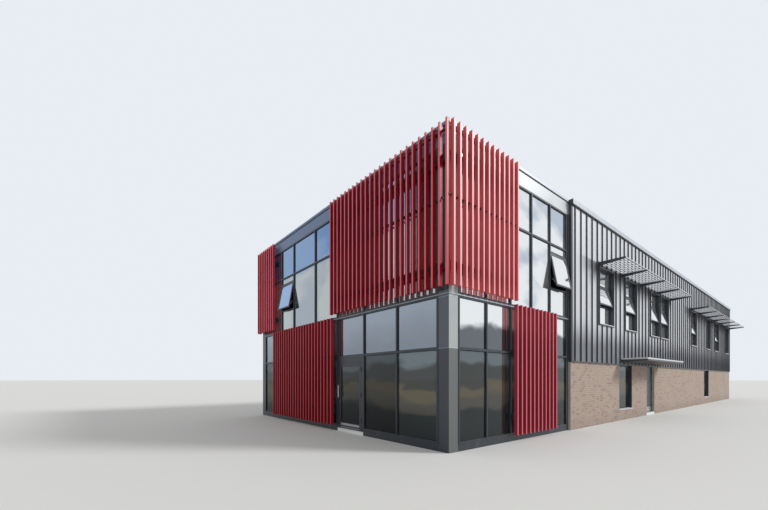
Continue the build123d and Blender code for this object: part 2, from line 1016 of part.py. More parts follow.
def hinge_levels(leaf_top):
    """Lower ends of the frame's and of the leaf's knuckles, one above the other."""
    usable = leaf_top - leaf_bottom - 2 * hinge_margin
    frame_bottoms = [leaf_bottom + hinge_margin + usable * share for share in (0, 0.5, 1)]
    return frame_bottoms, [bottom + hinge_knuckle_length + hinge_gap for bottom in frame_bottoms]


def knuckles(pin, bottoms):
    """Round hinge knuckles in the current part, standing on the given levels."""
    for bottom in bottoms:
        with BuildSketch(Plane.XY.offset(bottom)) as ring:
            with Locations(pin):
                Circle(hinge_radius)
        extrude(ring.sketch, amount=hinge_knuckle_length)


entrance_frame_bottoms, entrance_leaf_bottoms = hinge_levels(entrance_leaf_top)
side_frame_bottoms, side_leaf_bottoms = hinge_levels(side_leaf_top)

with BuildPart() as jambs:
    block(
        (entrance_east - entrance_jamb_width, south_face, ground_floor_top),
        (entrance_east, south_inner, entrance_head),
    )
    block(
        (entrance_west, south_face, ground_floor_top),
        (entrance_west + entrance_jamb_width, south_inner, entrance_head),
    )
    for start in (side_door_south, side_door_north - side_jamb_width):
        block(
            (side_jamb_inner, start, ground_floor_top),
            (side_jamb_outer, start + side_jamb_width, side_door_head),
        )
    knuckles(entrance_pin, entrance_frame_bottoms)
    knuckles(side_pin, side_frame_bottoms)
    for bottom in entrance_frame_bottoms:
        top = bottom + hinge_knuckle_length
        block(
            (entrance_pin[0] + hinge_radius / 2, entrance_pin[1] - hinge_radius / 2, bottom),
            (entrance_pin[0] + hinge_plate_width, south_face, top),
        )
    for bottom in side_frame_bottoms:
        top = bottom + hinge_knuckle_length
        block(
            (side_jamb_outer, side_pin[1] + hinge_radius / 2, bottom),
            (side_pin[0] + hinge_radius / 2, side_pin[1] + hinge_plate_width, top),
        )
save(jambs, "door_jambs")

with BuildPart() as headers:
    for bottom, top in ((entrance_head, lower_transom[1]), lower_head):
        block((entrance_west, south_face, bottom), (entrance_east, south_inner, top))
    block(
        (side_jamb_inner, side_door_south, side_door_head),
        (side_jamb_outer, side_door_north, brick_top),
    )
save(headers, "door_headers")

with BuildPart() as thresholds:
    block((entrance_west, south_face, 0), (entrance_east, south_inner, ground_floor_top))
    block((rear_inner, side_door_south, 0), (brick_half, side_door_north, ground_floor_top))
save(thresholds, "door_thresholds")

# Entrance leaf: a glazed metal frame with its half of the hinges
entrance_glass_edges = (
    entrance_leaf_west + entrance_stile_width,
    entrance_leaf_east - entrance_stile_width,
    leaf_bottom + entrance_bottom_rail,
    entrance_leaf_top - entrance_stile_width,
)
with BuildPart() as entrance_door:
    with BuildSketch(south_plane):
        rectangle_between(
            entrance_leaf_west, entrance_leaf_east, leaf_bottom, entrance_leaf_top
        )
        rectangle_between(*entrance_glass_edges, mode=Mode.SUBTRACT)
    extrude(amount=-entrance_leaf_thickness)
    knuckles(entrance_pin, entrance_leaf_bottoms)
    for bottom in entrance_leaf_bottoms:
        top = bottom + hinge_knuckle_length
        block(
            (entrance_pin[0] - hinge_plate_width, entrance_pin[1] - hinge_radius / 2, bottom),
            (entrance_pin[0] - hinge_radius / 2, south_face, top),
        )
save(entrance_door, "entrance_door")

with BuildPart() as entrance_pane:
    depth = (entrance_leaf_thickness - door_glass_thickness) / 2
    with BuildSketch(south_plane.offset(-depth)):
        rectangle_between(*entrance_glass_edges)
    extrude(amount=-door_glass_thickness)
save(entrance_pane, "entrance_door_glass")


# Straight pull bar on two posts
pull_place = entrance_leaf_west + pull_inset
with BuildPart() as entrance_pull:
    with BuildSketch(south_plane) as posts_section:
        for level in (pull_bottom + pull_post_margin, pull_bottom + pull_length - pull_post_margin):
            with Locations((pull_place, level)):
                Circle(pull_post_radius)
    extrude(posts_section.sketch, amount=pull_reach)
    with BuildSketch(Plane.XY.offset(pull_bottom)) as bar_section:
        with Locations((pull_place, south_face - pull_reach)):
            Circle(pull_radius)
    extrude(bar_section.sketch, amount=pull_length)
save(entrance_pull, "entrance_door_handle")

# Side leaf: a plain metal door, flush with its frame
with BuildPart() as side_door:
    with BuildSketch(brick_east_plane.offset(-side_door_setback)):
        rectangle_between(side_leaf_south, side_leaf_north, leaf_bottom, side_leaf_top)
    extrude(amount=-side_leaf_thickness)
    knuckles(side_pin, side_leaf_bottoms)
    for bottom in side_leaf_bottoms:
        top = bottom + hinge_knuckle_length
        block(
            (side_jamb_outer, side_pin[1] - hinge_plate_width, bottom),
            (side_pin[0] + hinge_radius / 2, side_pin[1] - hinge_radius / 2, top),
        )
save(side_door, "side_door")

# Lever handle: a round rose, a stem and a level grip
lever_plane = brick_east_plane.offset(-side_door_setback)
lever_place = side_leaf_south + lever_inset
grip_end = lever_plane.from_local_coords((lever_place - lever_radius, lever_level, lever_reach))
with BuildPart() as side_lever:
    for radius, length in ((lever_rose_radius, lever_rose_thickness), (lever_radius, lever_reach)):
        with BuildSketch(lever_plane) as section:
            with Locations((lever_place, lever_level)):
                Circle(radius)
        extrude(section.sketch, amount=length)
    with BuildSketch(Plane(origin=grip_end, x_dir=(1, 0, 0), z_dir=(0, 1, 0))) as grip_section:
        Circle(lever_radius)
    extrude(grip_section.sketch, amount=lever_length)
save(side_lever, "side_door_handle")
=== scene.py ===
"""Finishes and small fittings of a two-storey fire station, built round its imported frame.

Every object lies in the frame's own axes, in metres: +X is east, the entrance front faces
-Y and +Z is up. Each operator makes one piece or a group of like pieces.
"""

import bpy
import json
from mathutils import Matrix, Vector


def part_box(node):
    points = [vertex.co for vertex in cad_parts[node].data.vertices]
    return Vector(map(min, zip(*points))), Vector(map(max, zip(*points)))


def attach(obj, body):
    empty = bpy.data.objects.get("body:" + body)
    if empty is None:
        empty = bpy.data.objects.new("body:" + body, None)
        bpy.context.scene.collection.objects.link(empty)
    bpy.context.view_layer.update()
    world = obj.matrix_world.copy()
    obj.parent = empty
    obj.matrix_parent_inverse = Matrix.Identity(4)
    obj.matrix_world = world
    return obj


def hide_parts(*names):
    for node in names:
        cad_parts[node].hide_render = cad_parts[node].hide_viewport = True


bl_info = {
    "name": "Fire Station Finishes",
    "version": (1, 0, 0),
    "blender": (4, 5, 0),
    "location": "View3D > Sidebar > Fire Station",
    "description": "Bricks, seams, caps, gaskets, door fittings and finishes of a fire station",
    "category": "Object",
}

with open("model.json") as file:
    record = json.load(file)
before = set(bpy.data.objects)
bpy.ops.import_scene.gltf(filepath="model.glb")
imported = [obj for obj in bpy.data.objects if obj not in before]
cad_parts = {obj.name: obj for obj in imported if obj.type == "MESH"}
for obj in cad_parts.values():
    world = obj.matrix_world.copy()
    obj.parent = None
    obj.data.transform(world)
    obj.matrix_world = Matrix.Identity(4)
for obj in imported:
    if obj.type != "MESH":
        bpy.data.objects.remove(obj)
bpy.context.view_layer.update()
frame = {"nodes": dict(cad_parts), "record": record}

import json
import math

import bmesh
import bpy
from bpy.props import FloatProperty, FloatVectorProperty, PointerProperty
from mathutils import Matrix, Vector

MERGE_DISTANCE = 1e-5
UP = Vector((0, 0, 1))
# Levels above the ground, in metres.
POST_JOINT = 2.33
FIN_ARM_LEVEL = 5.62
TRANSOM_LEVEL = 5.70


def tone(red, green, blue):
    """The linear colour of three display values from 0 to 255."""
    def linear(value):
        share = value / 255
        return share / 12.92 if share <= 0.04045 else ((share + 0.055) / 1.055) ** 2.4
    return (linear(red), linear(green), linear(blue))


def colour(name, words, default):
    return FloatVectorProperty(
        name=name, description=words, default=default, subtype="COLOR", size=3, min=0, max=1
    )


def length(name, words, default):
    return FloatProperty(
        name=name, description=words, default=default, unit="LENGTH", subtype="DISTANCE", min=0
    )


class StationColours(bpy.types.PropertyGroup):
    """Colours of the finishes, as they look in plain light; some carry painted light, shade and
    reflections, as marked.
    """

    red: colour("Red", "Sides of the fins", tone(158, 14, 31))
    red_far: colour("Red to the west", "Sides of the western fins", tone(192, 34, 54))
    # Painted light: the red of the south sides of the upper east fins as they look in sunlight.
    red_lit: colour("Red in light", "Sides of the upper east fins", tone(220, 97, 101))
    # Painted highlight and painted sheen: the edge colours below are paler reds that stand in for
    # light off the fin edges.
    red_east: colour("Edges to the east", "Outer edges of the east fins", tone(238, 154, 157))
    red_south: colour("Edges to the south", "Outer edges of the front fins", tone(200, 92, 109))
    red_corner: colour("Edges at the corner", "Edges near the east corner", tone(222, 84, 94))
    red_far_edge: colour("Edges to the west", "Edges of the western fins", tone(218, 108, 126))
    red_low: colour("Edges below", "Outer edges of the lower front fins", tone(164, 54, 66))
    frame_grey: colour("Frame grey", "Bars and sashes", tone(46, 52, 60))
    rail_black: colour("Rail black", "Rails behind the fins", tone(40, 38, 42))
    # Painted light and shade: the blue and dark tones are painted shade away from the sun, the
    # pale tones painted sunlight on the east.
    panel_blue: colour("Panel blue", "Fascia away from the sun", tone(93, 113, 147))
    panel_pale: colour("Panel pale", "Fascia on the east side", tone(184, 189, 190))
    post_dark: colour("Post dark", "Corner posts away from the sun", tone(86, 90, 100))
    post_pale: colour("Post pale", "Corner posts on the east side", tone(164, 168, 167))
    coping_grey: colour("Coping grey", "Copings, flashings and bars", tone(178, 184, 192))
    # Painted shade: the south faces of the low flashings.
    coping_front: colour("Flashing grey", "Flashing on the front", tone(134, 141, 150))
    clad_pale: colour("Cladding pale", "Upper pans of the cladding", tone(206, 208, 212))
    # Painted shade: the darker tone at the foot of the cladding.
    clad_low: colour("Cladding low", "Foot of the cladding", tone(120, 122, 128))
    # Painted shade: the seams are dark grey to stand in for their shaded sides.
    seam_grey: colour("Seam grey", "Standing seams", tone(74, 77, 84))
    trim_dark: colour("Trim dark", "Corner trims and shelf arms", tone(58, 62, 68))
    brick_buff: colour("Buff brick", "Most bricks", tone(169, 152, 138))
    brick_pink: colour("Pink brick", "Pinker bricks", tone(167, 144, 134))
    brick_brown: colour("Brown brick", "Darker bricks", tone(152, 133, 121))
    mortar: colour("Mortar", "Mortar between the bricks", tone(178, 172, 163))
    # Painted reflections: the glass colours below stand in for sky, cloud and dark surroundings
    # mirrored in the panes.
    sky_blue: colour("Blue glass", "Top lights of the front", tone(106, 141, 185))
    sky_grey: colour("Grey glass", "Middle lights of the front", tone(172, 180, 188))
    cloud: colour("Pale glass", "Glass of the east side", tone(252, 252, 250))
    glass_dark: colour("Dark glass", "Lower lights of the ground floor", tone(38, 44, 46))
    sill_pale: colour("Sill pale", "Window sills and thresholds", tone(234, 235, 235))
    silver: colour("Silver", "Shelves, canopy edge and handles", tone(196, 198, 200))
    concrete: colour("Concrete", "Floors", tone(150, 148, 142))
    membrane: colour("Membrane", "Roof covering", tone(122, 126, 130))
    rubber: colour("Rubber", "Gaskets", tone(26, 27, 29))
    dust: colour("Dust", "Dust on ledges and in streaks", tone(176, 172, 164))


class StationSizes(bpy.types.PropertyGroup):
    """Sizes of the small fittings."""

    seam_pitch: length("Seam pitch", "Spacing of the standing seams", 0.44)
    seam_height: length("Seam height", "How far a seam stands out", 0.045)
    brick_length: length("Brick length", "Length of a brick", 0.215)
    brick_height: length("Brick height", "Height of a brick", 0.065)
    joint: length("Joint", "Width of the mortar joints", 0.010)
    brick_proud: length("Brick face", "How far bricks stand out of the mortar", 0.005)
    cap_width: length("Cap width", "Width of the cover caps on the bars", 0.050)
    cap_depth: length("Cap depth", "How far a cover cap stands out", 0.012)
    gasket: length("Gasket", "Width of the rubber round a pane", 0.009)
    strap_pitch: length("Strap pitch", "Spacing of the joints in copings", 3.0)
    lap_pitch: length("Lap pitch", "Width of the roof sheets", 1.05)


class StationStage(bpy.types.PropertyGroup):
    """Camera, light and ground."""

    eye: FloatVectorProperty(
        name="Eye", description="Place of the camera", default=(10.787, -23.332, 1.65),
        subtype="TRANSLATION", unit="LENGTH", size=3,
    )
    heading: FloatProperty(
        name="Heading", description="Turn of the camera from +Y towards -X",
        default=math.radians(50.915), subtype="ANGLE", unit="ROTATION",
    )
    lens: FloatProperty(
        name="Lens", description="Focal length in millimetres", default=17.0, min=1
    )
    rise: FloatProperty(
        name="Rise", description="Upward shift of the lens, in widths", default=0.1608
    )
    sun_strength: FloatProperty(
        name="Sun strength", description="Strength of the large soft lamp", default=2.2, min=0
    )
    sun_size: FloatProperty(
        name="Sun size", description="Apparent size of the large lamp",
        default=math.radians(14), subtype="ANGLE", unit="ROTATION",
    )
    sky_strength: FloatProperty(
        name="Sky strength", description="Light from all round", default=0.62, min=0
    )
    backdrop: colour("Backdrop", "Plain pale background", tone(232, 237, 243))
    ground: colour("Ground", "Plain pale floor", tone(214, 214, 212))
    ground_radius: length("Ground radius", "Reach of the floor", 400.0)


def operation(name):
    """The plain and the reflected form of an arithmetic operator of Number."""
    def plain(self, other):
        return self.worked(name, self, other)

    def reflected(self, other):
        return self.worked(name, other, self)

    return plain, reflected


class Number:
    """A number in a shader. Arithmetic on it adds Math nodes."""

    def __init__(self, graph, socket):
        self.graph = graph
        self.socket = socket

    def worked(self, operation, first, second=0.0):
        node = self.graph.add("ShaderNodeMath", {"operation": operation}, {0: first, 1: second})
        return Number(self.graph, node.outputs[0])

    __add__, __radd__ = operation("ADD")
    __sub__, __rsub__ = operation("SUBTRACT")
    __mul__, __rmul__ = operation("MULTIPLY")
    __truediv__, __rtruediv__ = operation("DIVIDE")
    __mod__, __rmod__ = operation("FLOORED_MODULO")

    def __gt__(self, other):
        return self.worked("GREATER_THAN", self, other)

    def __floor__(self):
        return self.worked("FLOOR", self)

    def larger(self, other):
        return self.worked("MAXIMUM", self, other)

    def swing(self, width):
        """Noise that lies round 0.5 turned into an even shift up and down."""
        return (self - 0.5) * width


class Graph:
    """A node tree while it is being put together."""

    def __init__(self, tree):
        self.tree = tree

    def add(self, kind, settings=None, values=None):
        """A new node with its settings made first, then its sockets given values or links."""
        node = self.tree.nodes.new(kind)
        for name, setting in (settings or {}).items():
            setattr(node, name, setting)
        for name, value in (values or {}).items():
            self.feed(node.inputs[name], value)
        return node

    def feed(self, socket, value):
        """Gives a socket a link or a plain value."""
        source = value.socket if isinstance(value, Number) else value
        if isinstance(source, bpy.types.NodeSocket):
            self.tree.links.new(source, socket)
        elif socket.type == "RGBA" and len(source) == 3:
            socket.default_value = (*source, 1.0)
        else:
            socket.default_value = source


class Finish(Graph):
    """A material while it is being put together."""

    def __init__(self, name):
        self.material = bpy.data.materials.new(name)
        self.material.use_nodes = True
        super().__init__(self.material.node_tree)
        self.shader = self.tree.nodes["Principled BSDF"]
        coordinates = self.add("ShaderNodeTexCoord")
        self.place = coordinates.outputs["Object"]
        self.x, self.y, self.z = self.parts(self.place)
        self.eastward, self.northward, self.upward = self.parts(coordinates.outputs["Normal"])

    def parts(self, vector):
        """The three numbers of a vector."""
        node = self.add("ShaderNodeSeparateXYZ", values={0: vector})
        return [Number(self, socket) for socket in node.outputs]

    def joined(self, x, y, z):
        """A vector of three numbers."""
        return self.add("ShaderNodeCombineXYZ", values={0: x, 1: y, 2: z}).outputs[0]

    def noise(self, scale, stretch=(1, 1, 1), detail=3.0, roughness=0.5, seed=0.0):
        """Soft noise, about 0.5 on average; a small stretch draws it out along that axis."""
        mapped = self.add(
            "ShaderNodeMapping",
            values={"Vector": self.place, "Location": (seed, seed, seed), "Scale": stretch},
        )
        node = self.add("ShaderNodeTexNoise", values={
            "Vector": mapped.outputs[0], "Scale": scale, "Detail": detail,
            "Roughness": roughness,
        })
        return Number(self, node.outputs["Fac"])

    def chance(self, *numbers):
        """A random number from 0 to 1 that is the same wherever the three numbers are."""
        node = self.add(
            "ShaderNodeTexWhiteNoise", {"noise_dimensions": "3D"}, {0: self.joined(*numbers)}
        )
        return Number(self, node.outputs["Value"])

    def step(self, number, low, high):
        """0 below low, 1 above high and a smooth rise between them."""
        node = self.add(
            "ShaderNodeMapRange", {"interpolation_type": "SMOOTHSTEP"},
            {"Value": number, "From Min": low, "From Max": high},
        )
        return Number(self, node.outputs["Result"])

    def blend(self, factor, first, second):
        """Two colours mixed by a factor."""
        settings = {"data_type": "RGBA", "blend_type": "MIX"}
        return self.add("ShaderNodeMix", settings, {0: factor, 6: first, 7: second}).outputs[2]

    def toned(self, base, amount):
        """A colour made brighter or darker by a number round 1."""
        settings = {"operation": "SCALE"}
        return self.add("ShaderNodeVectorMath", settings, {0: base, "Scale": amount}).outputs[0]

    def relief(self, height, depth, strength=1.0):
        """Fine relief on the surface, its depth in metres."""
        node = self.add(
            "ShaderNodeBump", values={"Strength": strength, "Distance": depth, "Height": height}
        )
        self.feed(self.shader.inputs["Normal"], node.outputs[0])

    def made(self, **sockets):
        """Feeds the shader's sockets, named with underscores, and returns the material."""
        for name, value in sockets.items():
            self.feed(self.shader.inputs[name.replace("_", " ")], value)
        return self.material


def chosen(name):
    """One of the colours that a user can change."""
    return tuple(getattr(bpy.context.scene.station_colours, name))


def coated(name, base, roughness=0.38, grime=0.12, metallic=0.0):
    """Powder coat on metal: slow shifts of tone, rain streaks, dust on ledges, fine texture."""
    finish = Finish(name)
    ledge_dust = 0.10
    drift = finish.noise(0.9, detail=4.0)
    streaks = finish.noise(9.0, stretch=(1, 1, 0.06), seed=4.0)
    dust = finish.step(finish.upward, 0.5, 0.9) * ledge_dust
    dust = dust + finish.step(streaks, 0.55, 0.75) * (grime * 0.5)
    shade = 1 + drift.swing(grime * 2) - finish.step(streaks, 0.6, 0.85) * (grime * 0.6)
    tinted = finish.toned(chosen(base) if isinstance(base, str) else base(finish), shade)
    finish.relief(finish.noise(420.0, detail=2.0, seed=9.0), 0.0004, 0.25)
    return finish.made(
        Base_Color=finish.blend(dust, tinted, chosen("dust")),
        Roughness=roughness + drift.swing(0.12) + dust * 0.5,
        Metallic=metallic,
    )


def fin_base(finish):
    """Red that pales on the outer edges of the fins as painted sheen, with a painted highlight on
    the east edges and painted light on the south sides of the upper east fins.
    """
    past_corner = finish.step(finish.y, -17.29, -17.27)
    # Painted highlight on the east-facing outer faces of the east fins.
    east = finish.step(finish.eastward, 0.5, 0.9) * finish.step(finish.x, 5.5, 5.58) * past_corner
    south = finish.step(0 - finish.northward, 0.5, 0.9)
    aloft = finish.step(finish.z, 3.6, 3.65)
    on_east = finish.step(finish.x, 5.595, 5.6)
    far_west = aloft * (1 - finish.step(finish.x, -3.5, -3.3))
    # Edge colours are painted sheen, paler near the corner and to the west.
    near_corner = finish.step(finish.x, 3.2, 5.3)
    edge = finish.blend(near_corner, chosen("red_south"), chosen("red_corner"))
    edge = finish.blend(far_west, edge, chosen("red_far_edge"))
    faced = finish.blend(aloft, chosen("red_low"), edge)
    # Painted light on the south-facing sides of the upper east fins.
    faced = finish.blend(on_east * aloft, faced, chosen("red_lit"))
    sides = finish.blend(far_west, chosen("red"), chosen("red_far"))
    fronted = finish.blend(south, sides, faced)
    lit_edge = finish.blend(aloft, chosen("red_south"), chosen("red_east"))
    return finish.blend(east, fronted, lit_edge)


def panel_base(finish):
    """Metallic panels with painted light: painted shade in blue-grey away from the east and
    painted sunlight in pale grey on the east; posts are darker, with painted shade behind the
    fins.
    """
    east = finish.step(finish.eastward, 0.3, 0.8)
    fascia_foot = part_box("front_fascia")[0].z
    high = finish.step(finish.z, fascia_foot - 0.004, fascia_foot)
    lower_length = 1 - finish.step(finish.z, POST_JOINT - 0.003, POST_JOINT + 0.003)
    panels = finish.blend(east, chosen("panel_blue"), chosen("panel_pale"))
    posts = finish.blend(east, chosen("post_dark"), chosen("post_pale"))
    # Painted shade on the posts behind the fins, away from the east.
    fin_shade = finish.step(finish.z, 3.60, 3.62) * (1 - east)
    shade = 1 - lower_length * (0.44 + east * 0.18) - fin_shade * 0.65
    return finish.blend(high, finish.toned(posts, shade), panels)


def coping_base(finish):
    """Silver-grey metal with painted shade on the south faces, blue-grey above and darker grey on
    the low flashings; dark on the ends at the corners.
    """
    south = finish.step(0 - finish.northward, 0.3, 0.8)
    clad_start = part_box("east_clad_wall")[0].y
    behind = finish.step(finish.y, clad_start - 0.1, clad_start)
    # South faces: painted shade in blue-grey; the south ends of the rear copings are dark.
    shaded = finish.blend(behind * south, chosen("panel_blue"), chosen("trim_dark"))
    aloft = finish.step(finish.z, 4.0, 4.2)
    fronts = finish.blend(aloft, chosen("coping_front"), shaded)
    return finish.blend(south, chosen("coping_grey"), fronts)


def canopy_base(finish):
    """Dark panels with a pale upper edge."""
    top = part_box("door_canopy")[1].z
    edge = finish.step(finish.z, top - 0.034, top - 0.03)
    return finish.blend(edge, chosen("trim_dark"), chosen("silver"))


def shelf_rows():
    """First and last arm of each row of sun shelves."""
    widest_bay = 3.0
    arms = sorted((low.y + high.y) / 2 for low, high in solids("shelf_arms"))
    rows = [[arms[0], arms[0]]]
    for place in arms[1:]:
        if place - rows[-1][1] > widest_bay:
            rows.append([place, place])
        rows[-1][1] = place
    return rows


def shelf_shadow(finish, waves):
    """Painted shadow of the sun shelves: 1 on the east wall just below them, fading to 0 half a
    metre down.
    """
    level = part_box("sun_shelves")[0].z
    below = finish.step(finish.z + waves.swing(0.12), level - 0.72, level - 0.16)
    below = below * (1 - finish.step(finish.z, level - 0.04, level + 0.07))
    rows = 0
    for first, last in shelf_rows():
        begins = finish.step(finish.y, first - 1.9, first - 0.1)
        rows = rows + begins * (1 - finish.step(finish.y, last - 0.1, last + 0.3))
    return below * rows * finish.step(finish.x, 5.4, 5.5)


def cladding():
    """Long metal pans: pale above and darker at the foot as painted shade, with a painted shadow
    under the sun shelves and slight waves between the seams.
    """
    finish = Finish("seamed_cladding")
    pitch = bpy.context.scene.station_sizes.seam_pitch
    pan = finish.chance(finish.x, math.floor(finish.y / pitch), 0.0)
    waves = finish.noise(1.6, stretch=(1, 1, 0.25))
    streaks = finish.noise(14.0, stretch=(1, 1, 0.04), seed=2.0)
    # Painted shade: the pans darken towards the foot of the wall.
    low = 1 - finish.step(finish.z + waves.swing(0.5), 2.7, 3.7)
    sheet = finish.blend(low, chosen("clad_pale"), chosen("clad_low"))
    shade = 0.95 + waves.swing(0.24) + pan.swing(0.05) - finish.step(streaks, 0.58, 0.8) * 0.10
    # Painted shadow below the sun shelves.
    shade = shade * (1 - shelf_shadow(finish, waves) * 0.88)
    finish.relief(waves + finish.noise(300.0, detail=1.0) * 0.004, 0.02, 0.4)
    return finish.made(
        Base_Color=finish.toned(sheet, shade), Roughness=0.44 + streaks.swing(0.15), Metallic=0.2
    )


def brick_grid(finish):
    """Row and column numbers of the brick at a place, on any of the walls."""
    sizes = bpy.context.scene.station_sizes
    skin = 0.0002
    row = math.floor(finish.z / (sizes.brick_height + sizes.joint))
    north = finish.y > NORTH.face(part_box("north_brick_wall")) + skin
    along = finish.x * north + finish.y * (1 - north)
    shifted = along / (sizes.brick_length + sizes.joint) + (row % 2) * 0.5
    return row, math.floor(shifted)


def brickwork():
    """Fired bricks in several tones, sandy and slightly pitted."""
    finish = Finish("brick_faces")
    row, column = brick_grid(finish)
    luck = finish.chance(row, column, 1.0)
    other = finish.chance(row, column, 7.0)
    pinker = finish.blend(
        finish.step(luck, 0.45, 0.75), chosen("brick_buff"), chosen("brick_pink")
    )
    base = finish.blend(finish.step(other, 0.82, 0.9), pinker, chosen("brick_brown"))
    sand = finish.noise(160.0, detail=5.0, roughness=0.7)
    blotches = finish.noise(11.0, detail=4.0, seed=3.0)
    stain = finish.noise(0.7, stretch=(1, 1, 0.7), seed=6.0)
    splash = (1 - finish.step(finish.z, 0.05, 0.55)) * 0.16
    shade = 1 + sand.swing(0.5) + blotches.swing(0.3) + stain.swing(0.24) + luck.swing(0.16)
    finish.relief(sand + blotches * 0.6, 0.003, 0.7)
    return finish.made(Base_Color=finish.toned(base, shade - splash), Roughness=0.86)


def mortar():
    """Sandy mortar, and the plain faces of the walls behind it."""
    finish = Finish("mortar")
    sand = finish.noise(220.0, detail=4.0, roughness=0.7)
    stain = finish.noise(1.3, detail=4.0, seed=5.0)
    shade = 1 + sand.swing(0.5) + stain.swing(0.3)
    finish.relief(sand, 0.002, 0.6)
    return finish.made(Base_Color=finish.toned(chosen("mortar"), shade), Roughness=0.92)


# Painted reflections on the panes, besides the colours that a user can change.
PAINTED_REFLECTIONS = {
    "light_blue": tone(134, 164, 202), "west_sky": tone(148, 162, 180),
    "grey_cloud": tone(196, 200, 198), "east_sky": tone(196, 205, 217),
    "row_foot": tone(138, 145, 153), "row_head": tone(158, 166, 176),
    "east_row_foot": tone(112, 116, 120), "tilted_sky": tone(150, 182, 222),
}
# Painted reflections as bands in the low panes: where each begins, where it is full, and its
# colour.
LOW_REFLECTION_BANDS = [
    (0.80, 0.95, tone(70, 69, 65)), (1.12, 1.24, tone(84, 79, 66)),
    (1.42, 1.52, tone(58, 60, 58)), (1.86, 2.06, tone(90, 99, 102)),
]


def glazing():
    """Coated glass with painted reflections of sky and cloud above, darker and clearer at the
    ground floor, with painted reflections and painted light in the low panes.
    """
    finish = Finish("coated_glass")
    clouds = finish.noise(0.42, stretch=(1, 1, 1.5), roughness=0.45, seed=1.4)
    haze = finish.noise(1.3, stretch=(0.5, 0.5, 1.0), seed=5.2)
    on_east = finish.step(finish.x, 5.3, 5.4)
    on_west = 1 - finish.step(finish.x, -5.45, -5.4)
    by_corner = finish.step(finish.x, 3.72, 3.78) * (1 - on_east)
    over_transom = finish.step(finish.z, 2.30, 2.34)
    aloft = finish.step(finish.z, 3.50, 3.60)

    patch = finish.step(clouds, 0.44, 0.62)
    top = finish.step(finish.z + clouds.swing(0.7), 5.45, 5.95)
    high_row = finish.blend(patch, chosen("sky_blue"), PAINTED_REFLECTIONS["light_blue"])
    high_row = finish.blend(on_west, high_row, PAINTED_REFLECTIONS["west_sky"])
    middle = finish.blend(patch, chosen("sky_grey"), PAINTED_REFLECTIONS["grey_cloud"])
    front = finish.blend(top, middle, high_row)
    east_blue = finish.step(clouds + (finish.z - 5.0) * 0.05, 0.5, 0.6)
    side = finish.blend(east_blue, chosen("cloud"), PAINTED_REFLECTIONS["east_sky"])
    upper = finish.blend(on_east, front, side)

    level = finish.z + haze.swing(1.1)
    rising = finish.step(level, 2.4, 3.4)
    south_row = finish.blend(rising, PAINTED_REFLECTIONS["row_foot"], PAINTED_REFLECTIONS["row_head"])
    skyline = finish.step(level, 2.8, 3.0)
    east_row = finish.blend(skyline, PAINTED_REFLECTIONS["east_row_foot"], chosen("cloud"))
    row = finish.blend(on_east, south_row, east_row)
    lower = chosen("glass_dark")
    for start, end, shade in LOW_REFLECTION_BANDS:
        lower = finish.blend(finish.step(level, start, end), lower, shade)
    # Painted light: the low panes brighten next to the corner and on the east.
    lower = finish.toned(lower, 0.9 + by_corner * 1.2 + on_east * 0.6)
    ground = finish.blend(over_transom, lower, row)

    tilted = finish.step(finish.upward, 0.04, 0.12) * (1 - on_east)
    panes = finish.blend(aloft, ground, upper)
    ripple = finish.noise(1.1, stretch=(1, 1, 0.6), detail=1.0, seed=8.0)
    finish.relief(ripple, 0.02, 0.35)
    seen = aloft + (1 - aloft) * over_transom
    return finish.made(
        Base_Color=finish.blend(tilted, panes, PAINTED_REFLECTIONS["tilted_sky"]),
        Roughness=0.03 + (ripple - 0.4) * 0.03,
        Metallic=0.45 + seen * 0.45,
        Alpha=0.80 + seen * 0.17,
    )


def brushed(name, roughness):
    """Bare metal with fine lines along its length."""
    finish = Finish(name)
    lines = finish.noise(240.0, stretch=(1, 1, 0.08), seed=2.0)
    shade = 1 + lines.swing(0.18) + finish.noise(2.2).swing(0.16)
    finish.relief(lines, 0.0003, 0.3)
    return finish.made(
        Base_Color=finish.toned(chosen("silver"), shade),
        Roughness=roughness + lines.swing(0.2),
        Metallic=0.9,
    )


def floor_finish():
    """Power-floated concrete, blotchy and lightly scuffed."""
    finish = Finish("floor_concrete")
    clouds = finish.noise(1.1, detail=6.0, roughness=0.6)
    grit = finish.noise(90.0, detail=4.0, seed=2.0)
    shade = 1 + clouds.swing(0.4) + grit.swing(0.2)
    finish.relief(grit, 0.001, 0.4)
    return finish.made(
        Base_Color=finish.toned(chosen("concrete"), shade), Roughness=0.62 + clouds.swing(0.3)
    )


def roof_finish():
    """Roofing membrane with ponding marks and a slight grain."""
    finish = Finish("roof_membrane")
    ponds = finish.step(finish.noise(0.5, detail=4.0), 0.5, 0.66)
    grain = finish.noise(260.0, seed=2.0)
    drift = finish.noise(2.4, detail=4.0, seed=5.0)
    shade = 1 + drift.swing(0.3) + grain.swing(0.2) - ponds * 0.16
    finish.relief(grain, 0.0008, 0.5)
    return finish.made(
        Base_Color=finish.toned(chosen("membrane"), shade), Roughness=0.82 - ponds * 0.2
    )


def rubber():
    """Black gasket rubber, greyer where it has weathered."""
    finish = Finish("gasket_rubber")
    bloom = finish.noise(30.0)
    finish.relief(bloom, 0.0004, 0.3)
    return finish.made(
        Base_Color=finish.toned(chosen("rubber"), 1 + bloom.swing(0.7)), Roughness=0.7
    )


